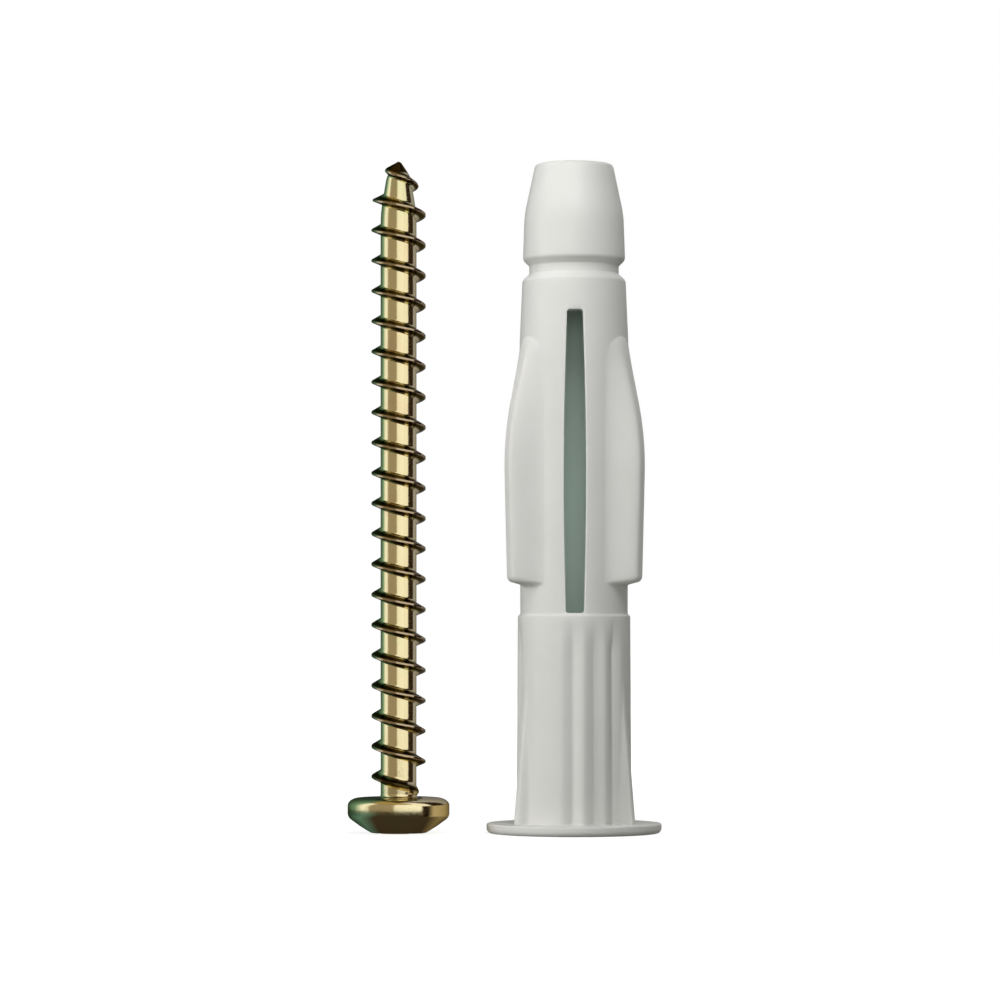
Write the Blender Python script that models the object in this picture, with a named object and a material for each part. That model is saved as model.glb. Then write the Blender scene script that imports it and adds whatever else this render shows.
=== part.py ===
"""A wall plug and its screw, standing side by side as they are sold together.

The plug is one nylon moulding: a rim, a fluted sleeve with three gussets, three legs with a slot between
each pair and a fin on each, and a nose behind a narrow neck. The screw is one piece of plated steel: a pan
head with a cross recess, and a shank that is threaded from the head to the point.

Metres, +Z up. The origin is on the ground in the middle of the pair, whose front looks along -Y. The plug
stands on its rim, nose up, and the screw stands on the flat of its head, point up.
"""

import math

import bmesh
import bpy
import numpy as np

MM = 0.001

# How the pair stands
GAP_BETWEEN = 2.82 * MM
FRONT = math.radians(-90)

# The plug's length, and how far the screw that suits it comes out of its nose
PLUG_LENGTH = 51.0 * MM
SCREW_OVER_PLUG = 0.15 * MM

# Screw: shank and point
SCREW_LENGTH = PLUG_LENGTH + SCREW_OVER_PLUG
SHANK_RADIUS = 1.37 * MM
POINT_TAPER = 3.9 * MM
POINT_BASE_RADIUS = 1.0 * MM
POINT_CONE = 1.7 * MM
POINT_HALF_ANGLE = math.radians(26.6)
POINT_SOFTNESS = 0.35 * MM
HEAD_JOINT_FILLET = 0.2 * MM

# Screw: thread. The hand is -1 for the left-handed helix of the reference, and 1 for a right-handed one.
THREAD_HAND = -1
THREAD_RADIUS = 2.05 * MM
THREAD_PITCH = 2.3125 * MM
THREAD_CREST = 0.17 * MM
THREAD_FLANK_TO_HEAD = 0.44 * MM
THREAD_FLANK_TO_POINT = 0.34 * MM
THREAD_PHASE = math.radians(60)
THREAD_ABOVE_HEAD = 0.06 * MM
THREAD_BELOW_TIP = 0.3 * MM
THREAD_CONE_OVER_TIP = 1.25 * MM
THREAD_CONE_HALF_ANGLE = math.radians(25.6)
RUN_OUT_TURNS = 0.66
RUN_OUT_ROOM = 0.9 * MM
LEAD_IN_TURNS = 0.25
POINT_ROOM = 0.75 * MM

# Screw: pan head
HEAD_RADIUS = 3.88 * MM
HEAD_HEIGHT = 2.7 * MM
HEAD_FLAT_RADIUS = 2.08 * MM
HEAD_BULGE_RADIUS = 2.9 * MM
HEAD_BULGE_HEIGHT = 0.5 * MM
HEAD_WALL_LOW = 1.22 * MM
HEAD_WALL_HIGH = 2.1 * MM
HEAD_SEAT_RADIUS = 2.95 * MM
HEAD_EDGE_FILLET = 0.6 * MM
HEAD_FLAT_FILLET = 0.3 * MM

# Screw: cross recess
RECESS_REACH = 2.12 * MM
RECESS_WING = 1.05 * MM
RECESS_DEPTH = 1.45 * MM
RECESS_FLOOR_REACH = 1.0 * MM
RECESS_FLOOR_WING = 0.72 * MM
RECESS_PIT_REACH = 0.34 * MM
RECESS_PIT_WING = 0.3 * MM
RECESS_PIT_DEPTH = 0.55 * MM
RECESS_TURN = math.radians(38)

# Plug: rim and sleeve
RIM_RADIUS = 6.67 * MM
RIM_THICKNESS = 0.76 * MM
RIM_FRONT_FILLET = 0.5 * MM
RIM_BACK_FILLET = 0.12 * MM
SLEEVE_FOOT_RADIUS = 4.38 * MM
SLEEVE_RADIUS = 4.28 * MM
SLEEVE_LENGTH = 15.75 * MM
SLEEVE_STEP = 0.18 * MM

# Plug: legs, neck and nose
LEG_FOOT_RADIUS = 4.09 * MM
LEG_RADIUS = 4.15 * MM
SHOULDER_RADIUS = 3.93 * MM
SHOULDER_TAPER = 4.9 * MM
SHOULDER_FILLET = 0.32 * MM
NECK_RADIUS = 3.41 * MM
NECK_WIDTH = 0.62 * MM
NECK_SLOPE = 0.48 * MM
NOSE_LENGTH = 7.35 * MM
NOSE_RADIUS = 3.89 * MM
NOSE_KNEE_RADIUS = 3.77 * MM
NOSE_KNEE_TO_TIP = 3.9 * MM
NOSE_KNEE_FILLET = 8 * MM
NOSE_TIP_RADIUS = 2.96 * MM
NOSE_TIP_FILLET = 0.3 * MM

# Plug: bore, which the screw enters at the rim and bites into at the nose
BORE_CLEARANCE = 0.15 * MM
MOUTH_CLEARANCE = 0.45 * MM
MOUTH_TAPER = 3.5 * MM
NOSE_BITE = 0.07 * MM
THROAT_LENGTH = 2.0 * MM
THROAT_OVER_SLOTS = 0.5 * MM
NOSE_MOUTH_CHAMFER = 0.25 * MM

# Plug: slots between the legs
LEGS = 3
SLOT_OVER_SLEEVE = 0.04 * MM
SLOT_LENGTH = 22.85 * MM
SLOT_WIDTH_LOW = 1.36 * MM
SLOT_WIDTH_HIGH = 1.18 * MM
SLOT_BOW = 0.2 * MM
SLOT_CORNER = 0.2 * MM

# Plug: a fin on the middle of each leg
FIN_THICKNESS = 0.96 * MM
FIN_DRAFT = math.tan(math.radians(5))
FIN_FOOT_OVER_SLEEVE = 2.3 * MM
FIN_LENGTH = 18.8 * MM
FIN_FOOT_RADIUS = 5.7 * MM
FIN_PEAK_RADIUS = 6.0 * MM
FIN_PEAK_OVER_FOOT = 11.05 * MM
FIN_PEAK_FILLET = 22 * MM
FIN_FOOT_FILLET = 0.42 * MM
FIN_FOOT_SLOPE = math.tan(math.radians(12))
FIN_EDGE = 0.25 * MM
FIN_EDGE_STEPS = 2
RIB_ROOT = 0.55 * MM

# Plug: a gusset under each fin, from the sleeve to the rim
GUSSET_CREST = 0.56 * MM
GUSSET_DRAFT = math.tan(math.radians(25))
GUSSET_LENGTH = 10.4 * MM
GUSSET_FOOT_RADIUS = 5.2 * MM
GUSSET_EDGE = 0.2 * MM
GUSSET_EDGE_STEPS = 2

# Plug: flutes along the sleeve, in a group beside each gusset
FLUTES = 3
FLUTE_STEP = math.radians(23.3)
FLUTE_FIRST = math.radians(-3)
FLUTE_HALF_WIDTH = 0.7 * MM
FLUTE_DEPTH = 0.22 * MM
FLUTE_ROUNDING = 1.4
FLUTE_BELOW_STEP = 0.3 * MM
FLUTE_FADE = 2.4 * MM
FLUTE_EXIT = 0.03 * MM
FLUTE_SILL = 0.05 * MM

# Fineness of the facets
PLUG_SIDES = 48
HEAD_SIDES = 48
THREAD_SIDES = 24
ARC_STEP = math.radians(18)
ARC_ERROR = 0.01 * MM
FILLET_STEP = math.radians(30)
BALL_STEP = math.radians(8)
SLOT_SIDE_STEPS = 6
FLUTE_FLANK_STEPS = 3
SHARP_EDGE = math.radians(32)
BEVELLED_EDGE = math.radians(60)
OVERCUT = 0.3 * MM

# Heights on the plug that several features share
SLEEVE_TOP = RIM_THICKNESS + SLEEVE_LENGTH
LEG_FOOT = SLEEVE_TOP + SLEEVE_STEP
NOSE_FOOT = PLUG_LENGTH - NOSE_LENGTH
NECK_TOP = NOSE_FOOT - NECK_SLOPE
NECK_FOOT = NECK_TOP - NECK_WIDTH
SHOULDER = NECK_FOOT - NECK_SLOPE
SLOT_FOOT = LEG_FOOT + SLOT_OVER_SLEEVE
SLOT_TOP = SLOT_FOOT + SLOT_LENGTH
BORE_RADIUS = THREAD_RADIUS + BORE_CLEARANCE
NOSE_BORE_RADIUS = SHANK_RADIUS - NOSE_BITE


def clear_scene():
    for thing in list(bpy.data.objects):
        bpy.data.objects.remove(thing)


def principled(name, colour, roughness, metallic):
    material = bpy.data.materials.new(name)
    material.use_nodes = True
    shader = material.node_tree.nodes["Principled BSDF"]
    shader.inputs["Base Color"].default_value = (*colour, 1)
    shader.inputs["Roughness"].default_value = roughness
    shader.inputs["Metallic"].default_value = metallic
    material.diffuse_color = (*colour, 1)
    return material


def grey_nylon():
    return principled("grey_nylon", (0.66, 0.67, 0.65), 0.42, 0)


def yellow_zinc_steel():
    return principled("yellow_zinc_steel", (0.72, 0.52, 0.22), 0.2, 1)


def rounded(corners):
    """A closed outline from (x, y, fillet radius) corners, with each fillet drawn as an arc.

    A fillet that is too large for the straight beside it ends half-way along that straight.
    """
    points = []
    for i, (x, y, radius) in enumerate(corners):
        corner = np.array((x, y))
        if radius == 0:
            points.append(corner)
            continue
        before = np.array(corners[i - 1][:2]) - corner
        after = np.array(corners[(i + 1) % len(corners)][:2]) - corner
        reach = min(np.linalg.norm(before), np.linalg.norm(after)) / 2
        before = before / np.linalg.norm(before)
        after = after / np.linalg.norm(after)
        half_angle = math.acos(np.clip(before @ after, -1, 1)) / 2
        radius = min(radius, reach * math.tan(half_angle))
        middle = before + after
        centre = corner + middle / np.linalg.norm(middle) * radius / math.sin(half_angle)
        start = corner + before * radius / math.tan(half_angle) - centre
        end = corner + after * radius / math.tan(half_angle) - centre
        turn = math.pi - 2 * half_angle
        steps = math.ceil(turn / min(ARC_STEP, 2 * math.acos(1 - ARC_ERROR / max(radius, ARC_ERROR))))
        for step in range(steps + 1):
            share = step / steps
            arm = start * math.sin(turn * (1 - share)) + end * math.sin(turn * share)
            points.append(centre + arm / math.sin(turn))
    return points


def turned(outline, sides):
    """The closed outline's (radius, height) points swept round +Z. A point on the axis stays one point."""
    shape = bmesh.new()
    angles = [2 * math.pi * side / sides for side in range(sides)]
    rings = []
    for radius, height in outline:
        if radius == 0:
            rings.append([shape.verts.new((0, 0, height))] * sides)
            continue
        ring = [(radius * math.cos(angle), radius * math.sin(angle), height) for angle in angles]
        rings.append([shape.verts.new(point) for point in ring])
    for lower, upper in zip(rings, rings[1:] + rings[:1]):
        for i in range(sides):
            corners = list(dict.fromkeys((lower[i - 1], lower[i], upper[i], upper[i - 1])))
            if len(corners) > 2:
                shape.faces.new(corners)
    return shape


def lofted(shape, sections):
    """Adds one closed body to the shape: its sections joined in turn, with the first and the last as ends."""
    loops = [[shape.verts.new(point) for point in section] for section in sections]
    for near, far in zip(loops, loops[1:]):
        for i in range(len(near)):
            shape.faces.new((near[i - 1], near[i], far[i], far[i - 1]))
    shape.faces.new(loops[0])
    shape.faces.new(loops[-1])


def at_angle(angle, outward, sideways, height):
    """A point from its distances along, across and above the direction that the angle gives."""
    return (
        outward * math.cos(angle) - sideways * math.sin(angle),
        outward * math.sin(angle) + sideways * math.cos(angle),
        height,
    )


def slot_angles():
    return [FRONT + 2 * math.pi * leg / LEGS for leg in range(LEGS)]


def fin_angles():
    return [angle + math.pi / LEGS for angle in slot_angles()]


def as_object(name, shape, smooth=True):
    bmesh.ops.recalc_face_normals(shape, faces=shape.faces)
    mesh = bpy.data.meshes.new(name)
    shape.to_mesh(mesh)
    shape.free()
    if smooth:
        mesh.shade_smooth()
        mesh.set_sharp_from_angle(angle=SHARP_EDGE)
    made = bpy.data.objects.new(name, mesh)
    bpy.context.scene.collection.objects.link(made)
    return made


def combine(target, tool, operation):
    """Joins the tool to the target, or cuts it away. The tool stays in the file as a hidden guide."""
    tool.parent = target
    tool.hide_render = True
    tool.display_type = "WIRE"
    modifier = target.modifiers.new(tool.name, "BOOLEAN")
    modifier.object = tool
    modifier.operation = operation
    modifier.solver = "EXACT"


def plug_body():
    """The turned body of the plug, with its bore."""
    mouth_radius = BORE_RADIUS + MOUTH_CLEARANCE
    throat_foot = SLOT_TOP + THROAT_OVER_SLOTS
    outline = [
        (RIM_RADIUS, 0, RIM_FRONT_FILLET),
        (RIM_RADIUS, RIM_THICKNESS, RIM_BACK_FILLET),
        (SLEEVE_FOOT_RADIUS, RIM_THICKNESS, 0),
        (SLEEVE_RADIUS, SLEEVE_TOP, 0),
        (LEG_FOOT_RADIUS, LEG_FOOT, 0),
        (LEG_RADIUS, SHOULDER - SHOULDER_TAPER, 0),
        (SHOULDER_RADIUS, SHOULDER, SHOULDER_FILLET),
        (NECK_RADIUS, NECK_FOOT, 0),
        (NECK_RADIUS, NECK_TOP, 0),
        (NOSE_RADIUS, NOSE_FOOT, SHOULDER_FILLET),
        (NOSE_KNEE_RADIUS, PLUG_LENGTH - NOSE_KNEE_TO_TIP, NOSE_KNEE_FILLET),
        (NOSE_TIP_RADIUS, PLUG_LENGTH, NOSE_TIP_FILLET),
        (NOSE_BORE_RADIUS + NOSE_MOUTH_CHAMFER, PLUG_LENGTH, 0),
        (NOSE_BORE_RADIUS, PLUG_LENGTH - NOSE_MOUTH_CHAMFER, 0),
        (NOSE_BORE_RADIUS, throat_foot + THROAT_LENGTH, 0),
        (BORE_RADIUS, throat_foot, 0),
        (BORE_RADIUS, MOUTH_TAPER, 0),
        (mouth_radius, 0, 0),
    ]
    return as_object("wall_plug", turned(rounded(outline), PLUG_SIDES))


def rib(shape, outline, angle):
    """A rib on the radius that the angle gives, from its (radius, height, half thickness) outline."""
    lofted(shape, [[at_angle(angle, r, side * half, z) for r, z, half in outline] for side in (-1, 1)])


def soften_edges(ribs, width, segments):
    bevel = ribs.modifiers.new("soft edges", "BEVEL")
    bevel.width = width
    bevel.segments = segments
    bevel.limit_method = "ANGLE"
    bevel.angle_limit = BEVELLED_EDGE


def plug_fins():
    """The fins rise from the legs on a long ramp towards the rim and end square, so that they hold in the wall."""
    foot = LEG_FOOT + FIN_FOOT_OVER_SLEEVE
    peak = foot + FIN_PEAK_OVER_FOOT
    ramp = (FIN_PEAK_RADIUS - LEG_RADIUS) / (foot + FIN_LENGTH - peak)
    root = LEG_RADIUS - RIB_ROOT
    outline = rounded(
        [
            (root, foot - (FIN_FOOT_RADIUS - root) * FIN_FOOT_SLOPE, 0),
            (FIN_FOOT_RADIUS, foot, FIN_FOOT_FILLET),
            (FIN_PEAK_RADIUS, peak, FIN_PEAK_FILLET),
            (root, peak + (FIN_PEAK_RADIUS - root) / ramp, 0),
        ]
    )
    drafted = [(r, z, FIN_THICKNESS / 2 + (FIN_PEAK_RADIUS - r) * FIN_DRAFT) for r, z in outline]
    shape = bmesh.new()
    for angle in fin_angles():
        rib(shape, drafted, angle)
    fins = as_object("plug_fins", shape, smooth=False)
    soften_edges(fins, FIN_EDGE, FIN_EDGE_STEPS)
    return fins


def plug_gussets():
    """The gussets brace the rim. Each is widest in its root at the rim, and runs out to a point on the sleeve."""
    ramp = (GUSSET_FOOT_RADIUS - SLEEVE_RADIUS) / GUSSET_LENGTH
    root = SLEEVE_RADIUS - RIB_ROOT
    foot = RIM_THICKNESS / 2
    foot_radius = GUSSET_FOOT_RADIUS + (RIM_THICKNESS - foot) * ramp
    crest = GUSSET_CREST / 2
    outline = [
        (root, foot, crest + (foot_radius - root) * GUSSET_DRAFT),
        (foot_radius, foot, crest),
        (root, RIM_THICKNESS + (GUSSET_FOOT_RADIUS - root) / ramp, crest),
    ]
    shape = bmesh.new()
    for angle in fin_angles():
        rib(shape, outline, angle)
    gussets = as_object("plug_gussets", shape, smooth=False)
    soften_edges(gussets, GUSSET_EDGE, GUSSET_EDGE_STEPS)
    return gussets


def slot_outline():
    """(sideways, height) points of a slot: it is widest near its middle, with small rounds in its corners."""
    corners = []
    for side in (1, -1):
        edge = []
        for step in range(SLOT_SIDE_STEPS + 1):
            share = step / SLOT_SIDE_STEPS
            width = SLOT_WIDTH_LOW + (SLOT_WIDTH_HIGH - SLOT_WIDTH_LOW) * share
            half = width / 2 + SLOT_BOW * math.sin(math.pi * share)
            corner = SLOT_CORNER if share in (0, 1) else 0
            edge.append((side * half, SLOT_FOOT + SLOT_LENGTH * share, corner))
        corners += edge[::side]
    return rounded(corners)


def plug_slots():
    """Cutters for the slots, from inside the bore to outside the legs."""
    shape = bmesh.new()
    for angle in slot_angles():
        ends = (NOSE_BORE_RADIUS, LEG_RADIUS + OVERCUT)
        lofted(shape, [[at_angle(angle, end, x, z) for x, z in slot_outline()] for end in ends])
    return as_object("plug_slots", shape, smooth=False)


def flute_section(surface, depth, angle, height):
    """A notch with rounded shoulders, sunk into the surface radius and open outside it."""
    flank = []
    for step in range(FLUTE_FLANK_STEPS + 1):
        share = step / FLUTE_FLANK_STEPS
        flank.append((FLUTE_HALF_WIDTH * share, surface - depth * (1 - share) ** FLUTE_ROUNDING))
    flank.append((FLUTE_HALF_WIDTH, surface + OVERCUT))
    notch = [(-x, r) for x, r in flank[:0:-1]] + flank
    return [at_angle(angle, r, x, height) for x, r in notch]


def plug_flutes():
    """Cutters for the flutes: full depth from the rim up, then fading out below the sleeve's step."""
    foot = RIM_THICKNESS + FLUTE_SILL
    top = SLEEVE_TOP - FLUTE_BELOW_STEP
    shape = bmesh.new()
    for middle in slot_angles():
        for flute in range(FLUTES):
            angle = middle + FLUTE_FIRST + FLUTE_STEP * flute
            sections = [
                flute_section(SLEEVE_FOOT_RADIUS, FLUTE_DEPTH, angle, foot),
                flute_section(SLEEVE_RADIUS, FLUTE_DEPTH, angle, top - FLUTE_FADE),
                flute_section(SLEEVE_RADIUS + FLUTE_EXIT, 0, angle, top),
            ]
            lofted(shape, sections)
    return as_object("plug_flutes", shape, smooth=False)


def wall_plug():
    plug = plug_body()
    combine(plug, plug_fins(), "UNION")
    combine(plug, plug_gussets(), "UNION")
    combine(plug, plug_slots(), "DIFFERENCE")
    combine(plug, plug_flutes(), "DIFFERENCE")
    plug.data.materials.append(grey_nylon())
    return plug


def core_profile():
    """Heights and radii of the screw without its thread: shank, taper, and a blunt cone with a ball end."""
    cone_foot = SCREW_LENGTH - POINT_CONE
    sharp_tip = cone_foot + POINT_BASE_RADIUS / math.tan(POINT_HALF_ANGLE)
    ball = (sharp_tip - SCREW_LENGTH) / (1 / math.sin(POINT_HALF_ANGLE) - 1)
    ball_turn = math.pi / 2 - POINT_HALF_ANGLE
    steps = math.ceil(ball_turn / BALL_STEP)
    ball_end = []
    for step in range(steps + 1):
        angle = POINT_HALF_ANGLE + ball_turn * step / steps
        ball_end.append((ball * math.cos(angle), SCREW_LENGTH - ball + ball * math.sin(angle)))
    corners = [
        (SHANK_RADIUS, HEAD_HEIGHT, 0),
        (SHANK_RADIUS, SCREW_LENGTH - POINT_TAPER, 0),
        (POINT_BASE_RADIUS, cone_foot, POINT_SOFTNESS),
        (*ball_end[0], 0),
    ]
    radii, heights = zip(*rounded(corners), *ball_end[1:])
    return heights, radii


def closed_up(height, knee, limit):
    """Heights past the knee draw closer together towards the limit, which they never reach."""
    room = limit - knee
    past = height - knee
    if room * past <= 0:
        return height
    return knee + room * past / (room + past)


def thread_share(turns, all_turns):
    """How much of its full height the ridge has, this many turns from its start at the head."""
    return max(0, min(1, turns / RUN_OUT_TURNS, (all_turns - turns) / LEAD_IN_TURNS))


def crest_radius(height):
    """The crest's radius: even along the shank, and on a cone of its own round the point."""
    cone_top = SCREW_LENGTH + THREAD_CONE_OVER_TIP
    return min(THREAD_RADIUS, (cone_top - height) * math.tan(THREAD_CONE_HALF_ANGLE))


def ring_angle(row):
    return THREAD_PHASE + THREAD_HAND * 2 * math.pi * row / THREAD_SIDES


def threaded_shank():
    """The shank with its thread, as one strip wound round the core.

    The strip is one pitch wide, and its columns follow the edges of the ridge, so the helix stays crisp. The
    last column of a row is the first column of the row one turn on. Both ends of the strip draw in, at the
    head to the top of the joint's fillet, and at the point to the ball end.
    """
    columns = np.cumsum((0, THREAD_FLANK_TO_HEAD, THREAD_CREST, THREAD_FLANK_TO_POINT))
    first_crest = HEAD_HEIGHT + THREAD_ABOVE_HEAD
    strip_foot = first_crest - THREAD_FLANK_TO_HEAD - THREAD_CREST / 2
    all_turns = (SCREW_LENGTH - THREAD_BELOW_TIP - first_crest) / THREAD_PITCH
    joint_top = HEAD_HEIGHT + HEAD_JOINT_FILLET
    last_row_height = SCREW_LENGTH - POINT_ROOM + THREAD_PITCH
    rows = math.ceil((last_row_height - strip_foot) / THREAD_PITCH * THREAD_SIDES)
    core = core_profile()
    shape = bmesh.new()

    def strip_point(row, column):
        turns = row / THREAD_SIDES
        height = strip_foot + THREAD_PITCH * turns + columns[column]
        height = closed_up(height, joint_top + RUN_OUT_ROOM, joint_top)
        height = closed_up(height, SCREW_LENGTH - POINT_ROOM, SCREW_LENGTH)
        radius = np.interp(height, *core)
        if column in (1, 2):
            radius += (crest_radius(height) - radius) * thread_share(turns, all_turns)
        return shape.verts.new(at_angle(ring_angle(row), radius, 0, height))

    strip = [[strip_point(row, column) for column in range(len(columns))] for row in range(rows + 1)]
    last_turn = [strip_point(row, 0) for row in range(rows + 1, rows + THREAD_SIDES + 1)]
    first_column = [row[0] for row in strip] + last_turn
    for row, edge in enumerate(strip):
        edge.append(first_column[row + THREAD_SIDES])
    for row, above in zip(strip, strip[1:]):
        for i in range(len(columns)):
            shape.faces.new((row[i], row[i + 1], above[i + 1], above[i]))

    tip = shape.verts.new((0, 0, SCREW_LENGTH))
    rim = [edge[-1] for edge in strip[-THREAD_SIDES:]]
    for near, far in zip(rim, rim[1:]):
        shape.faces.new((near, far, tip))
    close_seam(shape, rim[0], [*strip[-1], tip])

    rings = []
    for radius, height in joint_fillet():
        angles = [ring_angle(row) for row in range(THREAD_SIDES)]
        rings.append([shape.verts.new(at_angle(angle, radius, 0, height)) for angle in angles])
    for lower, upper in zip(rings, rings[1:]):
        for i in range(THREAD_SIDES):
            shape.faces.new((lower[i - 1], lower[i], upper[i], upper[i - 1]))
    shape.faces.new(rings[0])
    for i in range(1, THREAD_SIDES):
        shape.faces.new((rings[-1][i - 1], rings[-1][i], first_column[i], first_column[i - 1]))
    close_seam(shape, first_column[THREAD_SIDES - 1], [rings[-1][-1], rings[-1][0], *strip[0]])
    return as_object("screw", shape)


def close_seam(shape, corner, chain):
    """A fan from the corner to a chain of points, where the strip's end meets a plain ring or the tip."""
    for near, far in zip(chain, chain[1:]):
        shape.faces.new((corner, near, far))


def joint_fillet():
    """(radius, height) points from inside the head up round the fillet to the plain shank."""
    points = [(SHANK_RADIUS + HEAD_JOINT_FILLET, HEAD_HEIGHT - OVERCUT)]
    steps = math.ceil(math.pi / 2 / FILLET_STEP)
    for step in range(steps + 1):
        angle = math.pi / 2 * step / steps
        radius = SHANK_RADIUS + HEAD_JOINT_FILLET * (1 - math.sin(angle))
        points.append((radius, HEAD_HEIGHT + HEAD_JOINT_FILLET * (1 - math.cos(angle))))
    return points


def screw_head():
    """The pan head, flat side down: a low cone, a short wall and a shoulder round to the seat under the head."""
    shoulder = []
    steps = math.ceil(math.pi / 2 / ARC_STEP)
    for step in range(steps + 1):
        angle = math.pi / 2 * step / steps
        radius = HEAD_SEAT_RADIUS + (HEAD_RADIUS - HEAD_SEAT_RADIUS) * math.cos(angle)
        shoulder.append((radius, HEAD_WALL_HIGH + (HEAD_HEIGHT - HEAD_WALL_HIGH) * math.sin(angle), 0))
    outline = [
        (0, 0, 0),
        (HEAD_FLAT_RADIUS, 0, HEAD_FLAT_FILLET),
        (HEAD_BULGE_RADIUS, HEAD_BULGE_HEIGHT, 0),
        (HEAD_RADIUS, HEAD_WALL_LOW, HEAD_EDGE_FILLET),
        *shoulder,
        (0, HEAD_HEIGHT, 0),
    ]
    return as_object("screw_head", turned(rounded(outline), HEAD_SIDES))


def cross_section(reach, wing, height):
    """The four-winged outline of the recess at one height."""
    points = []
    for quarter in range(4):
        angle = RECESS_TURN + quarter * math.pi / 2
        for outward, sideways in ((reach, -wing / 2), (reach, wing / 2), (wing / 2, wing / 2)):
            points.append(at_angle(angle, outward, sideways, height))
    return points


def cross_recess():
    """A cutter for the recess: tapered wings, and a pit in the middle of their floor."""
    reach_slope = (RECESS_REACH - RECESS_FLOOR_REACH) / RECESS_DEPTH
    wing_slope = (RECESS_WING - RECESS_FLOOR_WING) / RECESS_DEPTH
    shape = bmesh.new()
    sections = [
        cross_section(RECESS_REACH + reach_slope * OVERCUT, RECESS_WING + wing_slope * OVERCUT, -OVERCUT),
        cross_section(RECESS_FLOOR_REACH, RECESS_FLOOR_WING, RECESS_DEPTH),
        cross_section(RECESS_PIT_REACH, RECESS_PIT_WING, RECESS_DEPTH + RECESS_PIT_DEPTH),
    ]
    lofted(shape, sections)
    return as_object("cross_recess", shape, smooth=False)


def screw():
    made = threaded_shank()
    combine(made, screw_head(), "UNION")
    combine(made, cross_recess(), "DIFFERENCE")
    made.data.materials.append(yellow_zinc_steel())
    return made


def main():
    clear_scene()
    half_width = HEAD_RADIUS + RIM_RADIUS + GAP_BETWEEN / 2
    screw().location.x = HEAD_RADIUS - half_width
    wall_plug().location.x = half_width - RIM_RADIUS


main()
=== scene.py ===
"""A wall plug of light grey moulded nylon and its yellow-plated screw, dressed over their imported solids.

The file is laid out as a Blender add-on and is run as a script. Metres, +Z up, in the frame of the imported
model: the screw stands on its head and the plug on its rim, side by side, and their fronts look along -Y.
"""

import math
from functools import partial

import bmesh
import bpy
import numpy as np
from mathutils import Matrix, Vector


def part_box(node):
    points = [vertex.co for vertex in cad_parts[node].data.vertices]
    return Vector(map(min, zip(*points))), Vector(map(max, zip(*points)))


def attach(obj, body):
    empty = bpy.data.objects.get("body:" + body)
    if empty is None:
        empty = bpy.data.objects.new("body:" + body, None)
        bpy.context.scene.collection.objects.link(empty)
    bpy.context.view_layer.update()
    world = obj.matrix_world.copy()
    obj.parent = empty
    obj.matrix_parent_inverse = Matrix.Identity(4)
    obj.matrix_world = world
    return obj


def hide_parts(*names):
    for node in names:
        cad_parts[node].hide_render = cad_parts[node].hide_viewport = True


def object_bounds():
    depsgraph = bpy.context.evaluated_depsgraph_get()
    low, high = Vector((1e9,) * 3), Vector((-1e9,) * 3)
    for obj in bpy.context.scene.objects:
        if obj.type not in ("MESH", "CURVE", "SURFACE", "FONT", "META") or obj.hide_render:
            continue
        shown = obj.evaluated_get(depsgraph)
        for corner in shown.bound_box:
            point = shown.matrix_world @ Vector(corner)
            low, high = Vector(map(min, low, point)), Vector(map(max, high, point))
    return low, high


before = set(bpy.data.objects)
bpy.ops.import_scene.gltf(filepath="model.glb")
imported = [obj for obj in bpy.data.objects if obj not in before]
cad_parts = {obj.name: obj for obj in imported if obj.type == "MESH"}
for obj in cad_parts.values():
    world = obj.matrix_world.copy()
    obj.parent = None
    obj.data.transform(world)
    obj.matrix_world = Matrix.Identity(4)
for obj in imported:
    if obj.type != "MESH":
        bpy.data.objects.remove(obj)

bl_info = {
    "name": "Wall plug with screw",
    "version": (1, 0, 0),
    "blender": (4, 5, 0),
    "location": "3D View > Sidebar > Fixing",
    "description": "Makes a grey nylon wall plug, its yellow-plated screw and a pale studio stage",
    "category": "Object",
}

MM = 0.001
CAD_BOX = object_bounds()
SCREW_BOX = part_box("screw")
PLUG_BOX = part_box("wall_plug")

# Legs round the plug, the turn of the first one at which a slot looks at the front, and flutes below each
LEGS = 3
FIRST_LEG = math.radians(-30)
FLUTES = 3

# Fineness of the meshes
ARC_STEP = math.radians(9)
ARC_ERROR = 0.002 * MM
ROW_STEP = 0.45 * MM
ROW_LEAST = 0.02 * MM
RIB_COLUMN_STEP = 0.07 * MM
BODY_COLUMNS = 18
STRIP_COLUMNS = 6
BORE_COLUMNS = 8
BORE_ROW = 10 * MM
CORNER_STEPS = 5
BLUNT_STEPS = 6
TURN_SIDES = 72
STRIP_WIDTH_COLUMNS = 32
MERGE_DISTANCE = 0.001 * MM
SHARP_EDGE = math.radians(35)
OVERCUT = 0.3 * MM

# How steep a flute's sides are, how soft the thread's ridge is, how close its columns stand at the ridge
# and how fast the fillet at the head opens
FLUTE_POWER = 1.4
RIDGE_SOFTNESS = 0.2
CROWDING = 0.6
FILLET_FLARE = 2.5
# What the crest attribute holds on the point, where the plating paints it dark as a painted reflection, and
# the height over which that begins
POINT_DARKENING = 0.6
POINT_DARKENING_EDGE = 0.12 * MM


def size(description, millimetres):
    """A length, written here in millimetres."""
    form = {"precision": 5, "subtype": "DISTANCE", "unit": "LENGTH"}
    return partial(bpy.props.FloatProperty, description=description, default=millimetres * MM, **form)


def angle(description, degrees):
    """An angle, written here in degrees."""
    form = {"subtype": "ANGLE", "unit": "ROTATION"}
    return partial(bpy.props.FloatProperty, description=description, default=math.radians(degrees), **form)


def share(description, default):
    """A share between 0 and 1."""
    form = {"min": 0, "max": 1, "subtype": "FACTOR"}
    return partial(bpy.props.FloatProperty, description=description, default=default, **form)


def hand(description, default):
    """A sense of turning, 1 or -1."""
    return partial(bpy.props.IntProperty, description=description, default=default, min=-1, max=1)


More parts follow.
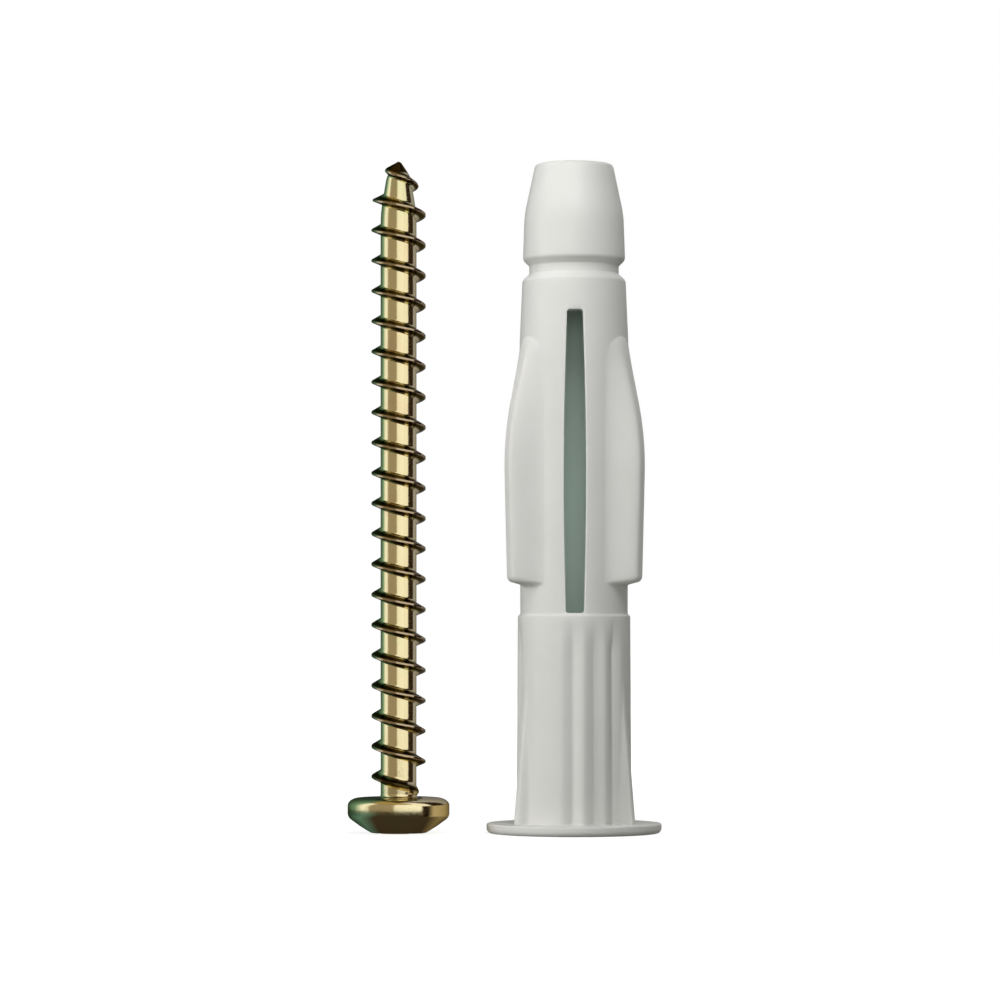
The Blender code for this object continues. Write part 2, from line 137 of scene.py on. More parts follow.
def strength(description, default):
    """The strength of a light. At 1 it lights a white surface to white."""
    return partial(bpy.props.FloatProperty, description=description, default=default, min=0)


def linear(code):
    """The linear red, green and blue of an sRGB hex colour."""
    channels = [int(code[i : i + 2], 16) / 255 for i in (1, 3, 5)]
    return tuple(c / 12.92 if c <= 0.04045 else ((c + 0.055) / 1.055) ** 2.4 for c in channels)


def colour(description, code):
    """A colour, written here as sRGB hex."""
    form = {"min": 0, "max": 1, "size": 3, "subtype": "COLOR"}
    return partial(bpy.props.FloatVectorProperty, description=description, default=linear(code), **form)


def named(group):
    """Names each setting in the sidebar after its own label in the group."""
    for label, setting in group.__annotations__.items():
        group.__annotations__[label] = setting(name=label.replace("_", " ").capitalize())
    return group


@named
class PlugSizes(bpy.types.PropertyGroup):
    """The plug, from its rim on the ground to its nose."""

    axis: size("Where the plug's axis stands along X", (PLUG_BOX[0].x + PLUG_BOX[1].x) / 2 / MM)
    length: size("From the rim's front to the top of the nose", PLUG_BOX[1].z / MM)
    rim_radius: size("Outer radius of the rim", (PLUG_BOX[1].x - PLUG_BOX[0].x) / 2 / MM)
    rim_thickness: size("Height of the rim", 0.76)
    rim_front_round: size("Round between the rim's front and its edge", 0.5)
    rim_back_round: size("Round between the rim's edge and its back", 0.14)
    sleeve_foot_radius: size("Radius of the sleeve where it leaves the rim", 4.38)
    sleeve_radius: size("Radius of the sleeve at its top", 4.28)
    sleeve_length: size("From the rim to the step", 15.75)
    sleeve_step: size("Height of the step from the sleeve to the legs", 0.18)
    sleeve_root: size("Fillet between the sleeve and the rim", 0.14)
    step_round: size("Round on the step's edge", 0.07)
    leg_foot_radius: size("Radius of the legs at the step", 4.09)
    leg_radius: size("Radius of the legs below the shoulder", 4.15)
    leg_easing: size("Fillet where the legs begin to taper", 30)
    shoulder_radius: size("Radius of the legs at the shoulder", 3.93)
    shoulder_taper: size("Length of the taper to the shoulder", 4.9)
    shoulder_round: size("Rounds on both sides of the neck", 0.42)
    neck_radius: size("Radius of the neck", 3.41)
    neck_width: size("Height of the neck's floor", 0.62)
    neck_slope: size("Height of each side of the neck", 0.48)
    neck_round: size("Fillets in the neck's floor", 0.1)
    nose_length: size("From the neck to the top", 7.35)
    nose_radius: size("Radius of the nose at its foot", 3.89)
    nose_knee_radius: size("Radius where the nose begins to close in", 3.77)
    nose_knee_to_tip: size("From there to the top", 3.9)
    nose_knee_round: size("Round of the nose's side", 8)
    nose_tip_radius: size("Radius of the nose at its top", 2.96)
    nose_tip_round: size("Round on the nose's top edge", 0.34)
    nose_crown: size("How much the top rises to its hole", 0.1)
    bore_radius: size("Radius of the bore that the screw enters", 2.2)
    mouth_radius: size("Radius of the bore at the rim", 2.65)
    mouth_length: size("Length of the taper at the rim", 3.5)
    nose_bore_radius: size("Radius of the hole through the nose", 1.3)
    nose_bore_chamfer: size("Chamfer of the hole at the top", 0.25)
    throat_length: size("Length of the taper between bore and hole", 2.0)
    throat_over_slots: size("From the slots' tops to the throat", 0.5)


@named
class SlotSizes(bpy.types.PropertyGroup):
    """The slots between the legs, of which one looks at the front."""

    over_sleeve: size("From the step to the slot's foot", 0.04)
    length: size("Height of the slot", 22.85)
    width_low: size("Width at the foot", 1.36)
    width_high: size("Width at the top", 1.18)
    bow: size("How much each side bows out", 0.2)
    corner: size("Rounds in the corners", 0.2)
    lip: size("Round along the edges", 0.06)


@named
class RibSizes(bpy.types.PropertyGroup):
    """The fin on each leg, and the gusset and the flutes below it on the sleeve."""

    fin_half: size("Half the thickness of a fin at its crest", 0.3)
    fin_root: size("Width of the soft blend on each side of the crest", 1.6)
    fin_foot: size("From the step to the fin's outer corner", 2.46)
    fin_slant: size("How much lower the fin begins at the leg", 0.33)
    fin_length: size("From the foot to where the crest would run out", 19.0)
    fin_end: size("From the foot to the blunt end that the crest has instead", 18.5)
    fin_end_round: size("Round of that blunt end", 0.6)
    fin_end_point: size("How much lower that end is at the fin's sides", 1.2)
    fin_foot_radius: size("Reach of the fin at its foot", 5.7)
    fin_foot_round: size("Round on the foot's outer corner", 0.5)
    fin_web: size("Fillet under the foot", 0.28)
    fin_peak_radius: size("Greatest reach of the fin", 6.0)
    fin_peak_over_foot: size("From the foot to the peak", 10.89)
    fin_peak_round: size("Round of the crest line at the peak", 22)
    gusset_length: size("Height of a gusset over the rim", 10.4)
    gusset_foot_radius: size("Reach of a gusset at the rim", 5.2)
    gusset_crest: size("Half the width of the crest", 0.26)
    gusset_edge: size("Round along the crest", 0.12)
    gusset_root: size("Fillet along the root", 0.2)
    gusset_draft: angle("Slope of each side", 25)
    flute_first: angle("From a slot to its first flute", -3)
    flute_step: angle("From flute to flute", 23.3)
    flute_half: size("Half the width of a flute", 0.8)
    flute_depth: size("Depth of a flute", 0.3)
    flute_crease: size("Softness of the crease in a flute", 0.06)
    flute_below_step: size("From the step down to the flute's end", 0.3)
    flute_fade: size("Length over which a flute fades out", 2.4)


@named
class ScrewSizes(bpy.types.PropertyGroup):
    """The screw, from its head on the ground to its point."""

    axis: size("Where the screw's axis stands along X", (SCREW_BOX[0].x + SCREW_BOX[1].x) / 2 / MM)
    length: size("From the head's top to the point", SCREW_BOX[1].z / MM)
    head_radius: size("Greatest radius of the head", (SCREW_BOX[1].x - SCREW_BOX[0].x) / 2 / MM)
    head_height: size("Thickness of the head", 2.7)
    head_flat_radius: size("Radius of the flat round the recess", 2.08)
    head_flat_round: size("Round at the edge of that flat", 0.4)
    head_bulge_radius: size("Radius half-way up the low cone", 2.9)
    head_bulge_height: size("Height there", 0.5)
    head_bulge_round: size("Round there", 1.2)
    head_wall_low: size("Foot of the head's short wall", 1.22)
    head_wall_high: size("Top of the head's short wall", 2.1)
    head_edge_round: size("Round below the wall", 0.6)
    head_seat_radius: size("Radius of the flat under the head", 2.95)
    recess_reach: size("Reach of a wing at the top", 2.12)
    recess_wing: size("Thickness of a wing at the top", 1.05)
    recess_depth: size("Depth of the wings", 1.45)
    recess_floor_reach: size("Reach of a wing at its floor", 1.0)
    recess_floor_wing: size("Thickness of a wing at its floor", 0.72)
    recess_pit_reach: size("Reach of the pit's floor", 0.34)
    recess_pit_wing: size("Thickness of the pit's floor", 0.3)
    recess_pit_depth: size("Depth of the pit below the wings", 0.55)
    recess_turn: angle("Turn of the cross", 38)
    shank_radius: size("Radius of the shank between the threads", 1.37)
    shank_fillet: size("Fillet between the shank and the head", 0.2)
    thread_radius: size("Radius over the thread", 2.07)
    thread_pitch: size("Rise of the thread in a turn", 2.3125)
    thread_crest: size("Width of the thread's crest", 0.14)
    thread_flank_to_head: size("Width of the flank on the head's side", 0.26)
    thread_flank_to_point: size("Width of the flank on the point's side", 0.39)
    thread_above_head: size("Height of the first crest over the head", 0.06)
    thread_cone_top: size("From the point to where the crests' cone would be sharp", 1.8)
    thread_half_angle: angle("Half the angle of the crests' cone at the point", 22.8)
    thread_below_tip: size("From the last crest to the point", 0.26)
    thread_start: angle("Where the thread starts, from +X", 60)
    thread_hand: hand("Which way the thread winds, -1 for left-handed and 1 for right-handed", -1)
    run_out_turns: share("Turns over which the thread rises at the head", 0.66)
    lead_in_turns: share("Turns over which the thread ends at the point", 0.13)
    point_taper: size("Where the shank begins to close in, from the point", 3.9)
    point_base_radius: size("Radius of the shank at the cone", 1.0)
    point_cone: size("Height of the cone", 1.7)
    point_overrun: size("From the blunt end to where the cone would be sharp", 0.22)
    point_half_angle: angle("Half the angle of the cone", 34)
    point_round: size("Round on the blunt end", 0.12)
    point_blend: size("Softness where taper and cone meet", 0.25)
    # Painted reflection: over this height the point is painted as dark as the flanks
    point_dull: size("Height over which the point is as dull as the flanks", 0.95)
    draw_in: size("Height over which the strip's columns crowd together at both ends", 0.4)


@named
class Finishes(bpy.types.PropertyGroup):
    """The colours of both materials."""

    nylon: colour("The moulded nylon", "#DCDBD9")
    nylon_shade: colour("Its faint mottling", "#D3D3CF")
    # Painted shade: the bore is coloured a cooler, greener grey in place of the dim light that reaches it
    # through the walls
    nylon_inside: colour("Cooler in the bore, where only light through the walls falls", "#C8D8D0")
    plating: colour("The yellow plating", "#FCF0C0")
    plating_green: colour("Where the film shows greenish", "#F3F0BE")
    plating_rose: colour("Where the film shows reddish", "#FAE7BA")
    # Painted reflections: the thread's flanks and point are painted dark brown, and its crests a darker,
    # greyer tan, in place of the dark and dull reflections the metal shows there
    plating_worn: colour("On the crests of the thread", "#C4B294")
    plating_edge: colour("Where the surface turns away", "#C0BCB0")
    plating_flank: colour("Dull on the flanks of the thread", "#4A3E22")


@named
class StageSettings(bpy.types.PropertyGroup):
    """The light."""

    side: strength("Light from the left", 0.62)
    top: strength("Light from above", 0.56)
    front: strength("Light from the front", 0.2)
    right: strength("Light from the right", 0.05)
    back: strength("Light from the right and behind", 0.6)
    sky: strength("Even light from all round", 0.08)
    floor_glow: share("Share of the floor's white that shadows don't reach", 0.82)


def add_node(tree, kind, inputs=(), **settings):
    """Adds a node. An input takes a value, a socket, a node for its first output, or a list of them."""
    node = tree.nodes.new(kind)
    for name, value in settings.items():
        setattr(node, name, value)
    for key, value in dict(inputs).items():
        for source in value if isinstance(value, list) else [value]:
            if isinstance(source, bpy.types.Node):
                source = source.outputs[0]
            if isinstance(source, bpy.types.NodeSocket):
                tree.links.new(source, node.inputs[key])
            else:
                node.inputs[key].default_value = source
    return node


def new_material(name):
    """An empty material, and add_node for its tree."""
    material = bpy.data.materials.new(name)
    material.use_nodes = True
    material.node_tree.nodes.clear()
    return material, partial(add_node, material.node_tree)


def grey_moulded_nylon(finishes):
    """Injection-moulded polyamide: an even, faintly translucent grey, with the soft sheen of its mould, and
    a cooler grey painted in the bore as its shade.
    """
    material, add = new_material("grey_moulded_nylon")
    place = add("ShaderNodeTexCoord").outputs["Object"]
    # Flow of the melt in clouds of about 4 mm, the mould's grain of 0.05 mm, drawn at 0.16 mm so that it
    # shows, and shrinkage of the wall in soft waves of about 1.5 mm
    clouds, grain, waves = (
        add("ShaderNodeTexNoise", {"Vector": place, "Scale": 1 / width, "Detail": detail})
        for width, detail in ((4 * MM, 3.0), (0.16 * MM, 2.0), (1.5 * MM, 1.0))
    )
    # Painted shade: where the inside attribute marks the bore, the colour turns to the cooler grey that
    # stands in for its dim light
    inside = add("ShaderNodeAttribute", attribute_name="inside").outputs["Fac"]
    base = (*finishes.nylon, 1)
    for amount, tint in ((clouds, finishes.nylon_shade), (inside, finishes.nylon_inside)):
        base = add("ShaderNodeMix", {0: amount, 6: base, 7: (*tint, 1)}, data_type="RGBA").outputs[2]
    spread = {"Value": clouds, "From Min": 0.3, "From Max": 0.7, "To Min": 0.34, "To Max": 0.46}
    soft = add("ShaderNodeBump", {"Strength": 0.35, "Distance": 0.02 * MM, "Height": waves})
    fine = {"Strength": 0.3, "Distance": 0.003 * MM, "Height": grain, "Normal": soft}
    surface = {
        "Base Color": base,
        "Roughness": add("ShaderNodeMapRange", spread),
        "Normal": add("ShaderNodeBump", fine),
        "IOR": 1.53,
        "Subsurface Weight": 0.25,
        "Subsurface Radius": (1.0, 1.0, 0.95),
        "Subsurface Scale": 0.6 * MM,
    }
    add("ShaderNodeOutputMaterial", {"Surface": add("ShaderNodeBsdfPrincipled", surface)})
    return material


def yellow_plated_steel(finishes):
    """Cold-formed steel, zinc-plated and passivated: bright metal under a thin yellow film that changes
    from greenish to reddish where it is thicker. Its flanks and point are painted dark brown and its crests
    a greyer tan: painted reflections."""
    material, add = new_material("yellow_plated_steel")
    place = add("ShaderNodeTexCoord").outputs["Object"]
    # Drift of the film's thickness over about 3 mm, the zinc's crystals of 0.02 mm, drawn at 0.12 mm so
    # that they show, and marks of rolling and tumbling about 0.6 mm apart
    drift, crystals, marks = (
        add("ShaderNodeTexNoise", {"Vector": place, "Scale": 1 / width, "Detail": detail})
        for width, detail in ((3 * MM, 2.0), (0.12 * MM, 2.0), (0.6 * MM, 3.0))
    )
    crest = add("ShaderNodeAttribute", attribute_name="crest").outputs["Fac"]
    film = (*finishes.plating, 1)
    # Where each tint begins and where it is full. The flank and crest tints are painted reflections.
    tints = (
        (drift, 0.42, 0.3, finishes.plating_green),
        (drift, 0.56, 0.72, finishes.plating_rose),
        (crest, 0.15, 0.4, finishes.plating_flank),
        (crest, 0.8, 1.0, finishes.plating_worn),
    )
    for source, start, full, tint in tints:
        amount = add("ShaderNodeMapRange", {"Value": source, "From Min": start, "From Max": full})
        film = add("ShaderNodeMix", {0: amount, 6: film, 7: (*tint, 1)}, data_type="RGBA").outputs[2]
    spread = {"Value": crystals, "From Min": 0.3, "From Max": 0.7, "To Min": 0.1, "To Max": 0.2}
    surface = {
        "Base Color": film,
        "Metallic": 1.0,
        "Roughness": add("ShaderNodeMapRange", spread),
        "Specular Tint": (*finishes.plating_edge, 1),
        "Normal": add("ShaderNodeBump", {"Strength": 0.4, "Distance": 0.01 * MM, "Height": marks}),
    }
    add("ShaderNodeOutputMaterial", {"Surface": add("ShaderNodeBsdfPrincipled", surface)})
    return material


def rounded(corners):
    """A path from (x, y, fillet radius) corners, with each fillet drawn as an arc."""
    points = []
    for i, (x, y, radius) in enumerate(corners):
        corner = np.array((x, y))
        if radius == 0:
            points.append(corner)
            continue
        before = np.array(corners[i - 1][:2]) - corner
        after = np.array(corners[i + 1][:2]) - corner
        reach = min(np.linalg.norm(before), np.linalg.norm(after)) / 2
        before = before / np.linalg.norm(before)
        after = after / np.linalg.norm(after)
        half_angle = math.acos(np.clip(before @ after, -1, 1)) / 2
        radius = min(radius, reach * math.tan(half_angle))
        middle = before + after
        centre = corner + middle / np.linalg.norm(middle) * radius / math.sin(half_angle)
        start = corner + before * radius / math.tan(half_angle) - centre
        end = corner + after * radius / math.tan(half_angle) - centre
        turn = math.pi - 2 * half_angle
        steps = math.ceil(turn / min(ARC_STEP, 2 * math.acos(1 - min(1, ARC_ERROR / radius))))
        for step in range(steps + 1):
            arm = start * math.sin(turn * (1 - step / steps)) + end * math.sin(turn * step / steps)
            points.append(centre + arm / math.sin(turn))
    return np.array(points)


def smooth_max(a, b, blend):
    """The larger of two arrays, with a fillet about as wide as the blend where they cross."""
    overlap = np.clip(blend - np.abs(a - b), 0, None) / blend
    return np.maximum(a, b) + overlap**2 * blend / 4


def quarter(share_along):
    """Height of a quarter circle that leaves the ground upright at 0 and lies level at 1."""
    return np.sqrt(np.clip(1 - (1 - np.clip(share_along, 0, 1)) ** 2, 0, 1))


def quarter_steps(steps):
    """Shares of the way along a quarter circle, closest at its start."""
    return 1 - np.cos(np.linspace(0, math.pi / 2, steps + 1))


def skin(shape, rows, closed=False):
    """Lays faces between rows of vertices, or between rings, and none where a corner is missing."""
    for lower, upper in zip(rows, rows[1:]):
        for i in range(0 if closed else 1, len(lower)):
            corners = (lower[i - 1], lower[i], upper[i], upper[i - 1])
            if None not in corners:
                shape.faces.new(corners)


def written(shape, mesh, outwards=True):
    """The mesh, with the shape written to it. Its faces are turned outwards where it is whole."""
    if outwards:
        bmesh.ops.recalc_face_normals(shape, faces=shape.faces)
    shape.to_mesh(mesh)
    shape.free()
    return mesh


def new_object(name, data):
    """A new object that stands in the scene. A shape is made a mesh for it."""
    if isinstance(data, bmesh.types.BMesh):
        data = written(data, bpy.data.meshes.new(name))
    made = bpy.data.objects.new(name, data)
    bpy.context.scene.collection.objects.link(made)
    return made


class PlugSector:
    """One leg of the plug with what lies below and above it, as wide as a third of a turn.

    X runs out through the middle of the fin, and both sides end in the middle of a slot. Each row is the
    outside at one height. Its columns are even over a fin's width, and the rest keep to the slots' edges.
    """

    def __init__(self, plug, slot, rib):
        self.plug, self.slot, self.rib = plug, slot, rib
        self.half_turn = math.pi / LEGS
        self.sleeve_top = plug.rim_thickness + plug.sleeve_length
        self.leg_foot = self.sleeve_top + plug.sleeve_step
        self.slot_foot = self.leg_foot + slot.over_sleeve
        slot_top = self.slot_foot + slot.length
        self.slot_low, self.slot_high = self.slot_foot - slot.lip, slot_top + slot.lip
        self.throat = slot_top + plug.throat_over_slots
        self.fin_foot = self.leg_foot + rib.fin_foot
        self.fin_end = self.fin_foot + rib.fin_end
        self.fin_reach = rib.fin_half + rib.fin_root
        self.sideways = np.linspace(0, self.fin_reach, math.ceil(self.fin_reach / RIB_COLUMN_STEP) + 1)[1:]
        self.tip_height = plug.length - plug.nose_crown
        self.rim, self.outside, self.crest = self.outlines()
        self.heights = self.row_heights()
        self.radii = np.interp(self.heights, self.outside[:, 1], self.outside[:, 0])
        self.slot_rows = np.searchsorted(self.heights, (self.slot_low, self.slot_high)) + len(self.rim)

    def outlines(self):
        """(radius, height) points round the rim, up the plug from there, and up the crest of a fin."""
        plug, rib = self.plug, self.rib
        nose_foot = plug.length - plug.nose_length
        neck_top = nose_foot - plug.neck_slope
        neck_foot = neck_top - plug.neck_width
        shoulder = neck_foot - plug.neck_slope
        rim = [
            (plug.mouth_radius, 0, 0),
            (plug.rim_radius, 0, plug.rim_front_round),
            (plug.rim_radius, plug.rim_thickness, plug.rim_back_round),
            (plug.sleeve_foot_radius, plug.rim_thickness, 0),
        ]
        outside = [
            (plug.rim_radius, plug.rim_thickness, 0),
            (plug.sleeve_foot_radius, plug.rim_thickness, plug.sleeve_root),
            (plug.sleeve_radius, self.sleeve_top, plug.step_round),
            (plug.leg_foot_radius, self.leg_foot, plug.step_round),
            (plug.leg_radius, shoulder - plug.shoulder_taper, plug.leg_easing),
            (plug.shoulder_radius, shoulder, plug.shoulder_round),
            (plug.neck_radius, neck_foot, plug.neck_round),
            (plug.neck_radius, neck_top, plug.neck_round),
            (plug.nose_radius, nose_foot, plug.shoulder_round),
            (plug.nose_knee_radius, plug.length - plug.nose_knee_to_tip, plug.nose_knee_round),
            (plug.nose_tip_radius, self.tip_height, plug.nose_tip_round),
            (plug.nose_bore_radius + plug.nose_bore_chamfer, plug.length, 0),
        ]
        crest = [
            (plug.leg_foot_radius, self.leg_foot, 0),
            (plug.leg_foot_radius, self.fin_foot - rib.fin_slant, rib.fin_web),
            (rib.fin_foot_radius, self.fin_foot, rib.fin_foot_round),
            (rib.fin_peak_radius, self.fin_foot + rib.fin_peak_over_foot, rib.fin_peak_round),
            (plug.leg_radius, self.fin_foot + rib.fin_length, 0),
        ]
        return rounded(rim)[1:-1], rounded(outside)[1:-1], rounded(crest)

    def row_heights(self):
        """Heights of the rows, as corners, outlines and blunt ends need them, and evenly between those."""
        bends = (self.slot.corner + self.slot.lip) * quarter_steps(CORNER_STEPS)
        heights = sorted([*(self.slot_low + bends), *(self.slot_high - bends)])
        blunt = self.fin_end - self.rib.fin_end_round * quarter_steps(BLUNT_STEPS)
        bottom, top = self.plug.rim_thickness, self.tip_height
        even = np.linspace(bottom, top, math.ceil((top - bottom) / ROW_STEP) + 1)[1:-1]
        wanted = [*self.outside[:, 1], *self.crest[1:, 1], *blunt]
        for candidates, least in ((wanted, ROW_LEAST), (even, ROW_STEP / 2)):
            for height in candidates:
                if min(abs(height - other) for other in heights) > least:
                    heights.append(height)
            heights.sort()
        return np.array(heights)

    def slot_half_width(self, height):
        """Half the width of a slot's outer edge, lip included."""
        slot = self.slot
        along = np.clip((height - self.slot_foot) / slot.length, 0, 1)
        half = (slot.width_low + (slot.width_high - slot.width_low) * along) / 2 + slot.lip
        half = half + slot.bow * np.sin(math.pi * along)
        corner = slot.corner + slot.lip
        to_end = np.minimum(height - self.slot_low, self.slot_high - height)
        return half - corner * (1 - quarter(to_end / corner))

    def column_angles(self, radii, heights):
        """The angle of each column in each row, from one side of the sector to the other."""
        beside = np.clip(heights, self.slot_low, self.slot_high)
        surface = np.interp(beside, self.heights, self.radii)
        border = (self.half_turn - np.arcsin(self.slot_half_width(beside) / surface))[:, None]
        ribs = np.arcsin(self.sideways[None] / radii[:, None])
        body = ribs[:, -1:] + (border - ribs[:, -1:]) * np.linspace(0, 1, BODY_COLUMNS + 1)[1:]
        strip = border + (self.half_turn - border) * np.linspace(0, 1, STRIP_COLUMNS + 1)[1:]
        half = np.hstack([ribs, body, strip])
        return np.hstack([-half[:, ::-1], np.zeros((len(half), 1)), half])

    def flute_depth(self, angles):
        """How deep the flutes sink into each point of the sleeve."""
        rib = self.rib
        top = self.sleeve_top - rib.flute_below_step
        fade = np.clip((top - self.heights) / rib.flute_fade, 0, 1)[:, None]
        depth = np.zeros_like(angles)
        for flute in range(FLUTES):
            middle = rib.flute_first + rib.flute_step * flute - self.half_turn
            turn = (angles - middle + self.half_turn) % (2 * self.half_turn) - self.half_turn
            across = np.hypot(turn * self.radii[:, None], rib.flute_crease) - rib.flute_crease
            depth += np.clip(1 - across / rib.flute_half, 0, 1) ** FLUTE_POWER
        return depth * rib.flute_depth * fade

    def over_fin(self, base, sideways):
        """The outside with the fin on it, a ridge whose sides blend softly into the leg."""
        rib = self.rib
        y = np.abs(sideways)
        end = self.fin_end - rib.fin_end_point * (y / self.fin_reach) ** 2
        crest = np.interp(self.heights, self.crest[:, 1], self.crest[:, 0], left=0, right=0)
        height = np.clip(crest - self.radii, 0, None)[:, None]
        height = height * quarter((end - self.heights[:, None]) / rib.fin_end_round)
        side = np.clip((y - rib.fin_half) / rib.fin_root, 0, 1)
        return base + height * (1 - side * side * (3 - 2 * side))

    def over_gusset(self, base, sideways):
        """The outside with the gusset on it, which runs out to a point on the sleeve."""
        plug, rib = self.plug, self.rib
        ramp = (rib.gusset_foot_radius - plug.sleeve_radius) / rib.gusset_length
        reach = rib.gusset_foot_radius - (self.heights - plug.rim_thickness) * ramp
        beyond = smooth_max(np.abs(sideways) - rib.gusset_crest, 0, rib.gusset_edge)
        section = reach[:, None] - beyond / math.tan(rib.gusset_draft)
        on_sleeve = self.heights[:, None] < self.sleeve_top
        return np.where(on_sleeve, smooth_max(base, section, rib.gusset_root), base)

    def outside_points(self):
        """All points of the outside, row by row, rim first."""
        radius, height = self.rim[:, :1], self.rim[:, 1:]
        angles = self.column_angles(*self.rim.T)
        rim = np.dstack([radius * np.cos(angles), radius * np.sin(angles), height + 0 * angles])
        angles = self.column_angles(self.radii, self.heights)
        radii = self.radii[:, None] - self.flute_depth(angles)
        sideways = radii * np.sin(angles)
        outward = self.over_gusset(self.over_fin(radii * np.cos(angles), sideways), sideways)
        return np.concatenate([rim, np.dstack([outward, sideways, self.heights[:, None] + 0 * angles])])

    def add_slot_wall(self, shape, points, outside, side):
        """Adds half a slot's wall, over the lip from the outside to the bore, and gives its inner edge.

        An edge runs from the middle of the slot's foot round the corner, up the side and back to the
        middle. It is told by rows of the outside and by columns that count from the slot's middle.
        """
        first, last = self.slot_rows
        strip = range(STRIP_COLUMNS)
        edge = [(first, column) for column in strip]
        edge += [(row, STRIP_COLUMNS) for row in range(first, last + 1)]
        edge += [(last, column) for column in reversed(strip)]
        turn = side * self.half_turn
        outward = np.array((math.cos(turn), math.sin(turn), 0))
        across = np.array((math.sin(turn), -math.cos(turn), 0)) * side
        upward = np.array((0, 0, 1))
        spots = np.array([points[row, ::-side][column] for row, column in edge])
        flat = np.column_stack([spots @ across, spots @ upward])
        surface = np.hypot(flat[:, 0], spots @ outward)
        tangent = np.gradient(flat, axis=0)
        tangent[: STRIP_COLUMNS + 1] = (1, 0)
        tangent[-STRIP_COLUMNS - 1 :] = (-1, 0)
        tangent /= np.linalg.norm(tangent, axis=1)[:, None]
        inward = np.column_stack([-tangent[:, 1], tangent[:, 0]])
        lip = self.slot.lip
        layers = [[outside[row][::-side][column] for row, column in edge]]
        # The middle of the lip's round, its end and the bore, each with its share of the way in
        for way_in, radius in ((0.7, surface - 0.3 * lip), (1, surface - lip), (1, self.plug.bore_radius)):
            x, z = (flat + inward * lip * way_in).T
            reach = np.sqrt(radius**2 - x**2)
            places = np.outer(reach, outward) + np.outer(x, across) + np.outer(z, upward)
            layers.append([shape.verts.new(place) for place in places])
        skin(shape, layers)
        return layers[-1]

    def add_bore(self, shape, outside, walls):
        """Adds the bore, whose edges at the slots are those of the slots' walls, and closes both ends."""
        plug = self.plug

        def row_between(left, right, radius, height):
            """The bore's columns between two angles, without its ends."""
            angles = np.linspace(left, right, BORE_COLUMNS + 1)[1:-1]
            return [shape.verts.new((radius * math.cos(a), radius * math.sin(a), height)) for a in angles]

        def whole_row(radius, height, slot_edge):
            """A row of the bore, its columns beside a slot as far apart as the slot's edge has them."""
            strip = [math.atan2(vertex.co.y, vertex.co.x) for vertex in slot_edge]
            left, right = (
                [shape.verts.new((radius * math.cos(a), radius * math.sin(a), height)) for a in side]
                for side in ([-a for a in strip], strip)
            )
            return [*left, *row_between(-strip[-1], strip[-1], radius, height), *reversed(right)]

        left_wall, right_wall = walls
        foot_edge, top_edge = right_wall[: STRIP_COLUMNS + 1], right_wall[: -STRIP_COLUMNS - 2 : -1]
        low = ((plug.mouth_radius, 0), (plug.bore_radius, plug.mouth_length), (plug.bore_radius, BORE_ROW))
        bore = [whole_row(radius, height, foot_edge) for radius, height in low]
        missing = [None] * STRIP_COLUMNS
        last = len(right_wall) - 1 - STRIP_COLUMNS
        for i in range(STRIP_COLUMNS, last + 1):
            left, right = left_wall[i], right_wall[i]
            turn = math.atan2(right.co.y, right.co.x)
            row = [left, *row_between(-turn, turn, plug.bore_radius, right.co.z), right]
            if i == STRIP_COLUMNS:
                row = [*left_wall[:i], *row, *reversed(right_wall[:i])]
            elif i == last:
                row = [*reversed(left_wall[i + 1 :]), *row, *right_wall[i + 1 :]]
            else:
                row = [*missing, *row, *missing]
            bore.append(row)
        high = (
            (plug.bore_radius, self.throat),
            (plug.nose_bore_radius, self.throat + plug.throat_length),
            (plug.nose_bore_radius, plug.length - plug.nose_bore_chamfer),
            (plug.nose_bore_radius + plug.nose_bore_chamfer, plug.length),
        )
        bore += [whole_row(radius, height, top_edge) for radius, height in high]
        skin(shape, bore)
        columns = len(outside[0])
        spread = np.linspace(STRIP_COLUMNS, columns - 1 - STRIP_COLUMNS, BORE_COLUMNS + 1).round()
        marks = [*range(STRIP_COLUMNS), *spread.astype(int), *range(columns - STRIP_COLUMNS, columns)]
        for outer, ring in ((outside[0], bore[0]), (outside[-1], bore[-1])):
            for i in range(len(ring) - 1):
                shape.faces.new([*outer[marks[i] : marks[i + 1] + 1], ring[i + 1], ring[i]])

    def mesh(self):
        """The skin of the sector. Its inside attribute, 1 in the bore up to the throat, marks where shade
        is painted.
        """
        shape = bmesh.new()
        layer = shape.verts.layers.float.new("inside")
        points = self.outside_points()
        first, last = self.slot_rows
        outside = [[shape.verts.new(point) for point in row] for row in points]
        strips = [*range(STRIP_COLUMNS), *range(-STRIP_COLUMNS, 0)]
        for row in outside[first + 1 : last]:
            for column in strips:
                shape.verts.remove(row[column])
                row[column] = None
        skin(shape, outside)
        walls = [self.add_slot_wall(shape, points, outside, side) for side in (-1, 1)]
        self.add_bore(shape, outside, walls)
        for vertex in shape.verts:
            x, y, z = vertex.co
            in_bore = math.hypot(x, y) < self.plug.bore_radius + MERGE_DISTANCE
            vertex[layer] = float(in_bore and z < self.throat - MERGE_DISTANCE)
        return written(shape, bpy.data.meshes.new("plug_sector"), outwards=False)


SOCKETS = {
    int: "NodeSocketInt",
    float: "NodeSocketFloat",
    tuple: "NodeSocketVector",
    bpy.types.Material: "NodeSocketMaterial",
}


